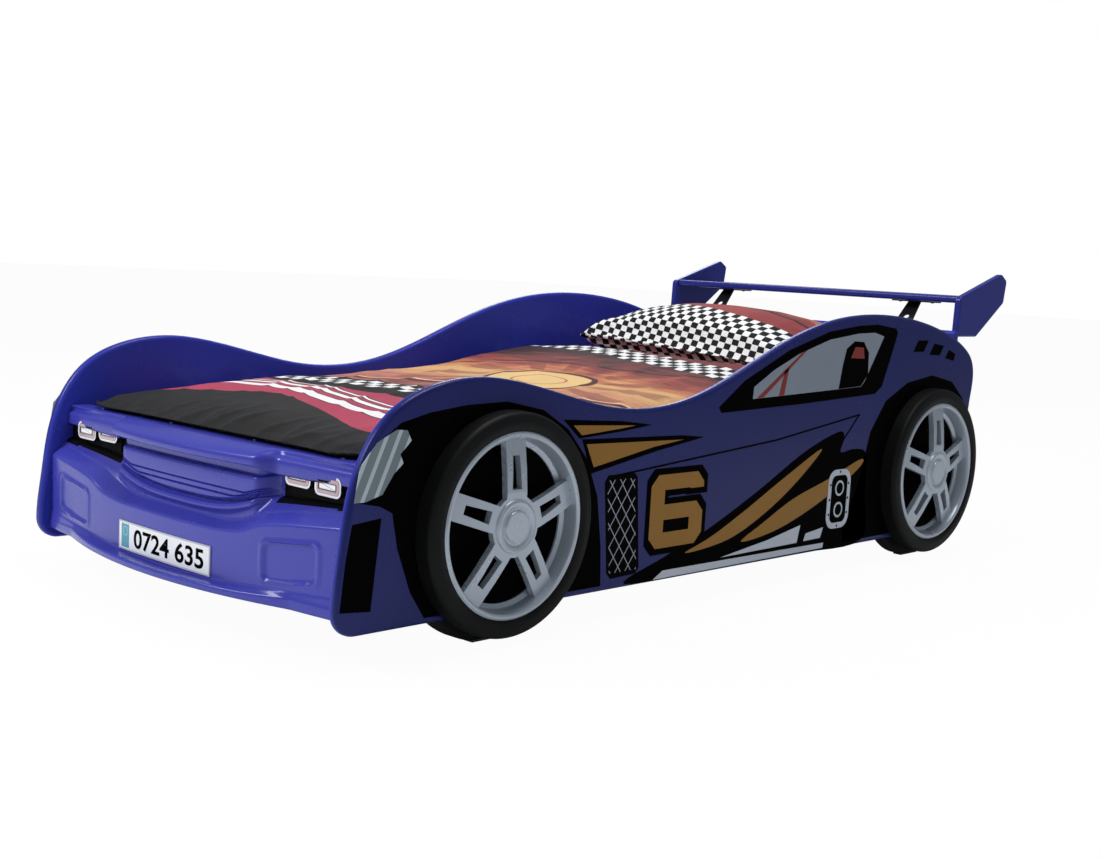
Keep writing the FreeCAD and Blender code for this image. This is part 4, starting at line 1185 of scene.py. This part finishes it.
def pillowFolds(p, normal):
    side = abs(p.x) / 0.42
    broad = noise.noise(Vector((p.x * 5.0, p.y * 6.0, p.z * 4.0))) * 0.006
    crease = (1 - abs(noise.noise(Vector((p.x * 6.0, p.y * 22.0, 3.3)))) * 2) ** 3
    return broad + crease * 0.007 * ramp(side, 0.45, 1.0) - 0.002


def makeDuvet():
    obj = softCopy("duvet", "duvetCover", duvet["voxel"])
    puff(obj, duvet)
    moveOut(obj, duvetFolds)
    for vertex in obj.data.vertices:
        vertex.co.x = max(-duvet["half"], min(duvet["half"], vertex.co.x))
        vertex.co.z = max(duvet["low"], vertex.co.z)
    mats["duvet"] = printedCloth("duvetPrint", duvetColour)
    coverWith(obj, "duvet")
    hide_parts("duvet")
    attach(obj, "duvet_body")


def makePillow():
    obj = softCopy("pillow", "pillowCase", pillow["voxel"])
    puff(obj, pillow)
    for vertex in obj.data.vertices:
        vertex.co.x *= pillow["stretch"]  # the swelling draws the ends in
    moveOut(obj, pillowFolds)
    smooth = obj.modifiers.new("smooth", "SMOOTH")
    smooth.iterations = 2
    applyAll(obj)
    mapPillow(obj)
    for vertex in obj.data.vertices:
        vertex.co.z -= pillow["tilt"] * vertex.co.x * (1 - ramp(vertex.co.y, 0.46, 0.66))
    mats["pillow"] = printedCloth("pillowPrint", pillowColour)
    coverWith(obj, "pillow")
    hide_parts("pillow")
    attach(obj, "pillow_body")


mattress = {"voxel": 0.01, "corner": 0.04, "diamond": 0.09}


def mattressMaterial():
    # ticking quilted in diamonds
    mat, w, bsdf, place = newMaterial("quiltedTicking")
    x, y, _ = w.split(place)
    threaded = w.group(weave, Vector=place, Threads=2200.0)
    turns = math.pi / mattress["diamond"]
    lines = [
        w.math("ABSOLUTE", w.sine(w.timesPlus(y, way, x), turns))
        for way in (1.0, -1.0)
    ]
    quilt = w.math("POWER", w.math("MINIMUM", *lines), 0.5)
    slub = w.scaled(threaded["Slub"], 0.35, 0.65)
    w.put(bsdf["Base Color"], w.mix(slub, linear(236, 234, 228), linear(218, 215, 207)))
    bsdf["Roughness"].default_value = 0.85
    bsdf["Sheen Weight"].default_value = 0.1
    height = w.timesPlus(quilt, 6.0, threaded["Height"])
    w.put(bsdf["Normal"], w.bump(height, 0.3, 0.0016))
    mats["mattress"] = mat


def quilting(p, normal):
    # the top and bottom are drawn in along the sewn diamonds
    turns = math.pi / mattress["diamond"]
    diamond = abs(math.sin(turns * (p.x + p.y))) * abs(math.sin(turns * (p.x - p.y)))
    return -0.0005 - 0.004 * (1 - diamond**0.5) * (abs(normal.z) > 0.7)


def makeMattress():
    low, high = (Vector(v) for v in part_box("mattress"))
    middle, size = (low + high) / 2, high - low
    obj = added("mattressPad", bpy.ops.mesh.primitive_cube_add, size=1, location=middle, scale=size)
    bpy.ops.object.transform_apply(location=True, rotation=True, scale=True)
    corner = obj.modifiers.new("corner", "BEVEL")
    corner.width, corner.segments, corner.limit_method = mattress["corner"], 6, "ANGLE"
    applyAll(obj)
    remesh = obj.modifiers.new("remesh", "REMESH")
    remesh.mode = "VOXEL"
    remesh.voxel_size = mattress["voxel"]
    applyAll(obj)
    moveOut(obj, quilting)
    mattressMaterial()
    coverWith(obj, "mattress")
    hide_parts("mattress")
    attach(obj, "mattress_body")


setCamera()
setLight()
setFloor()
print("camera, light and floor")
dressNodes()
print("frame pieces dressed")
makeBumper()
print("bumper")
makeLamps()
makePlate()
print("lamps and plate")
makeLivery()
print("livery")
makeMattress()
makeDuvet()
makePillow()
print("bedding")
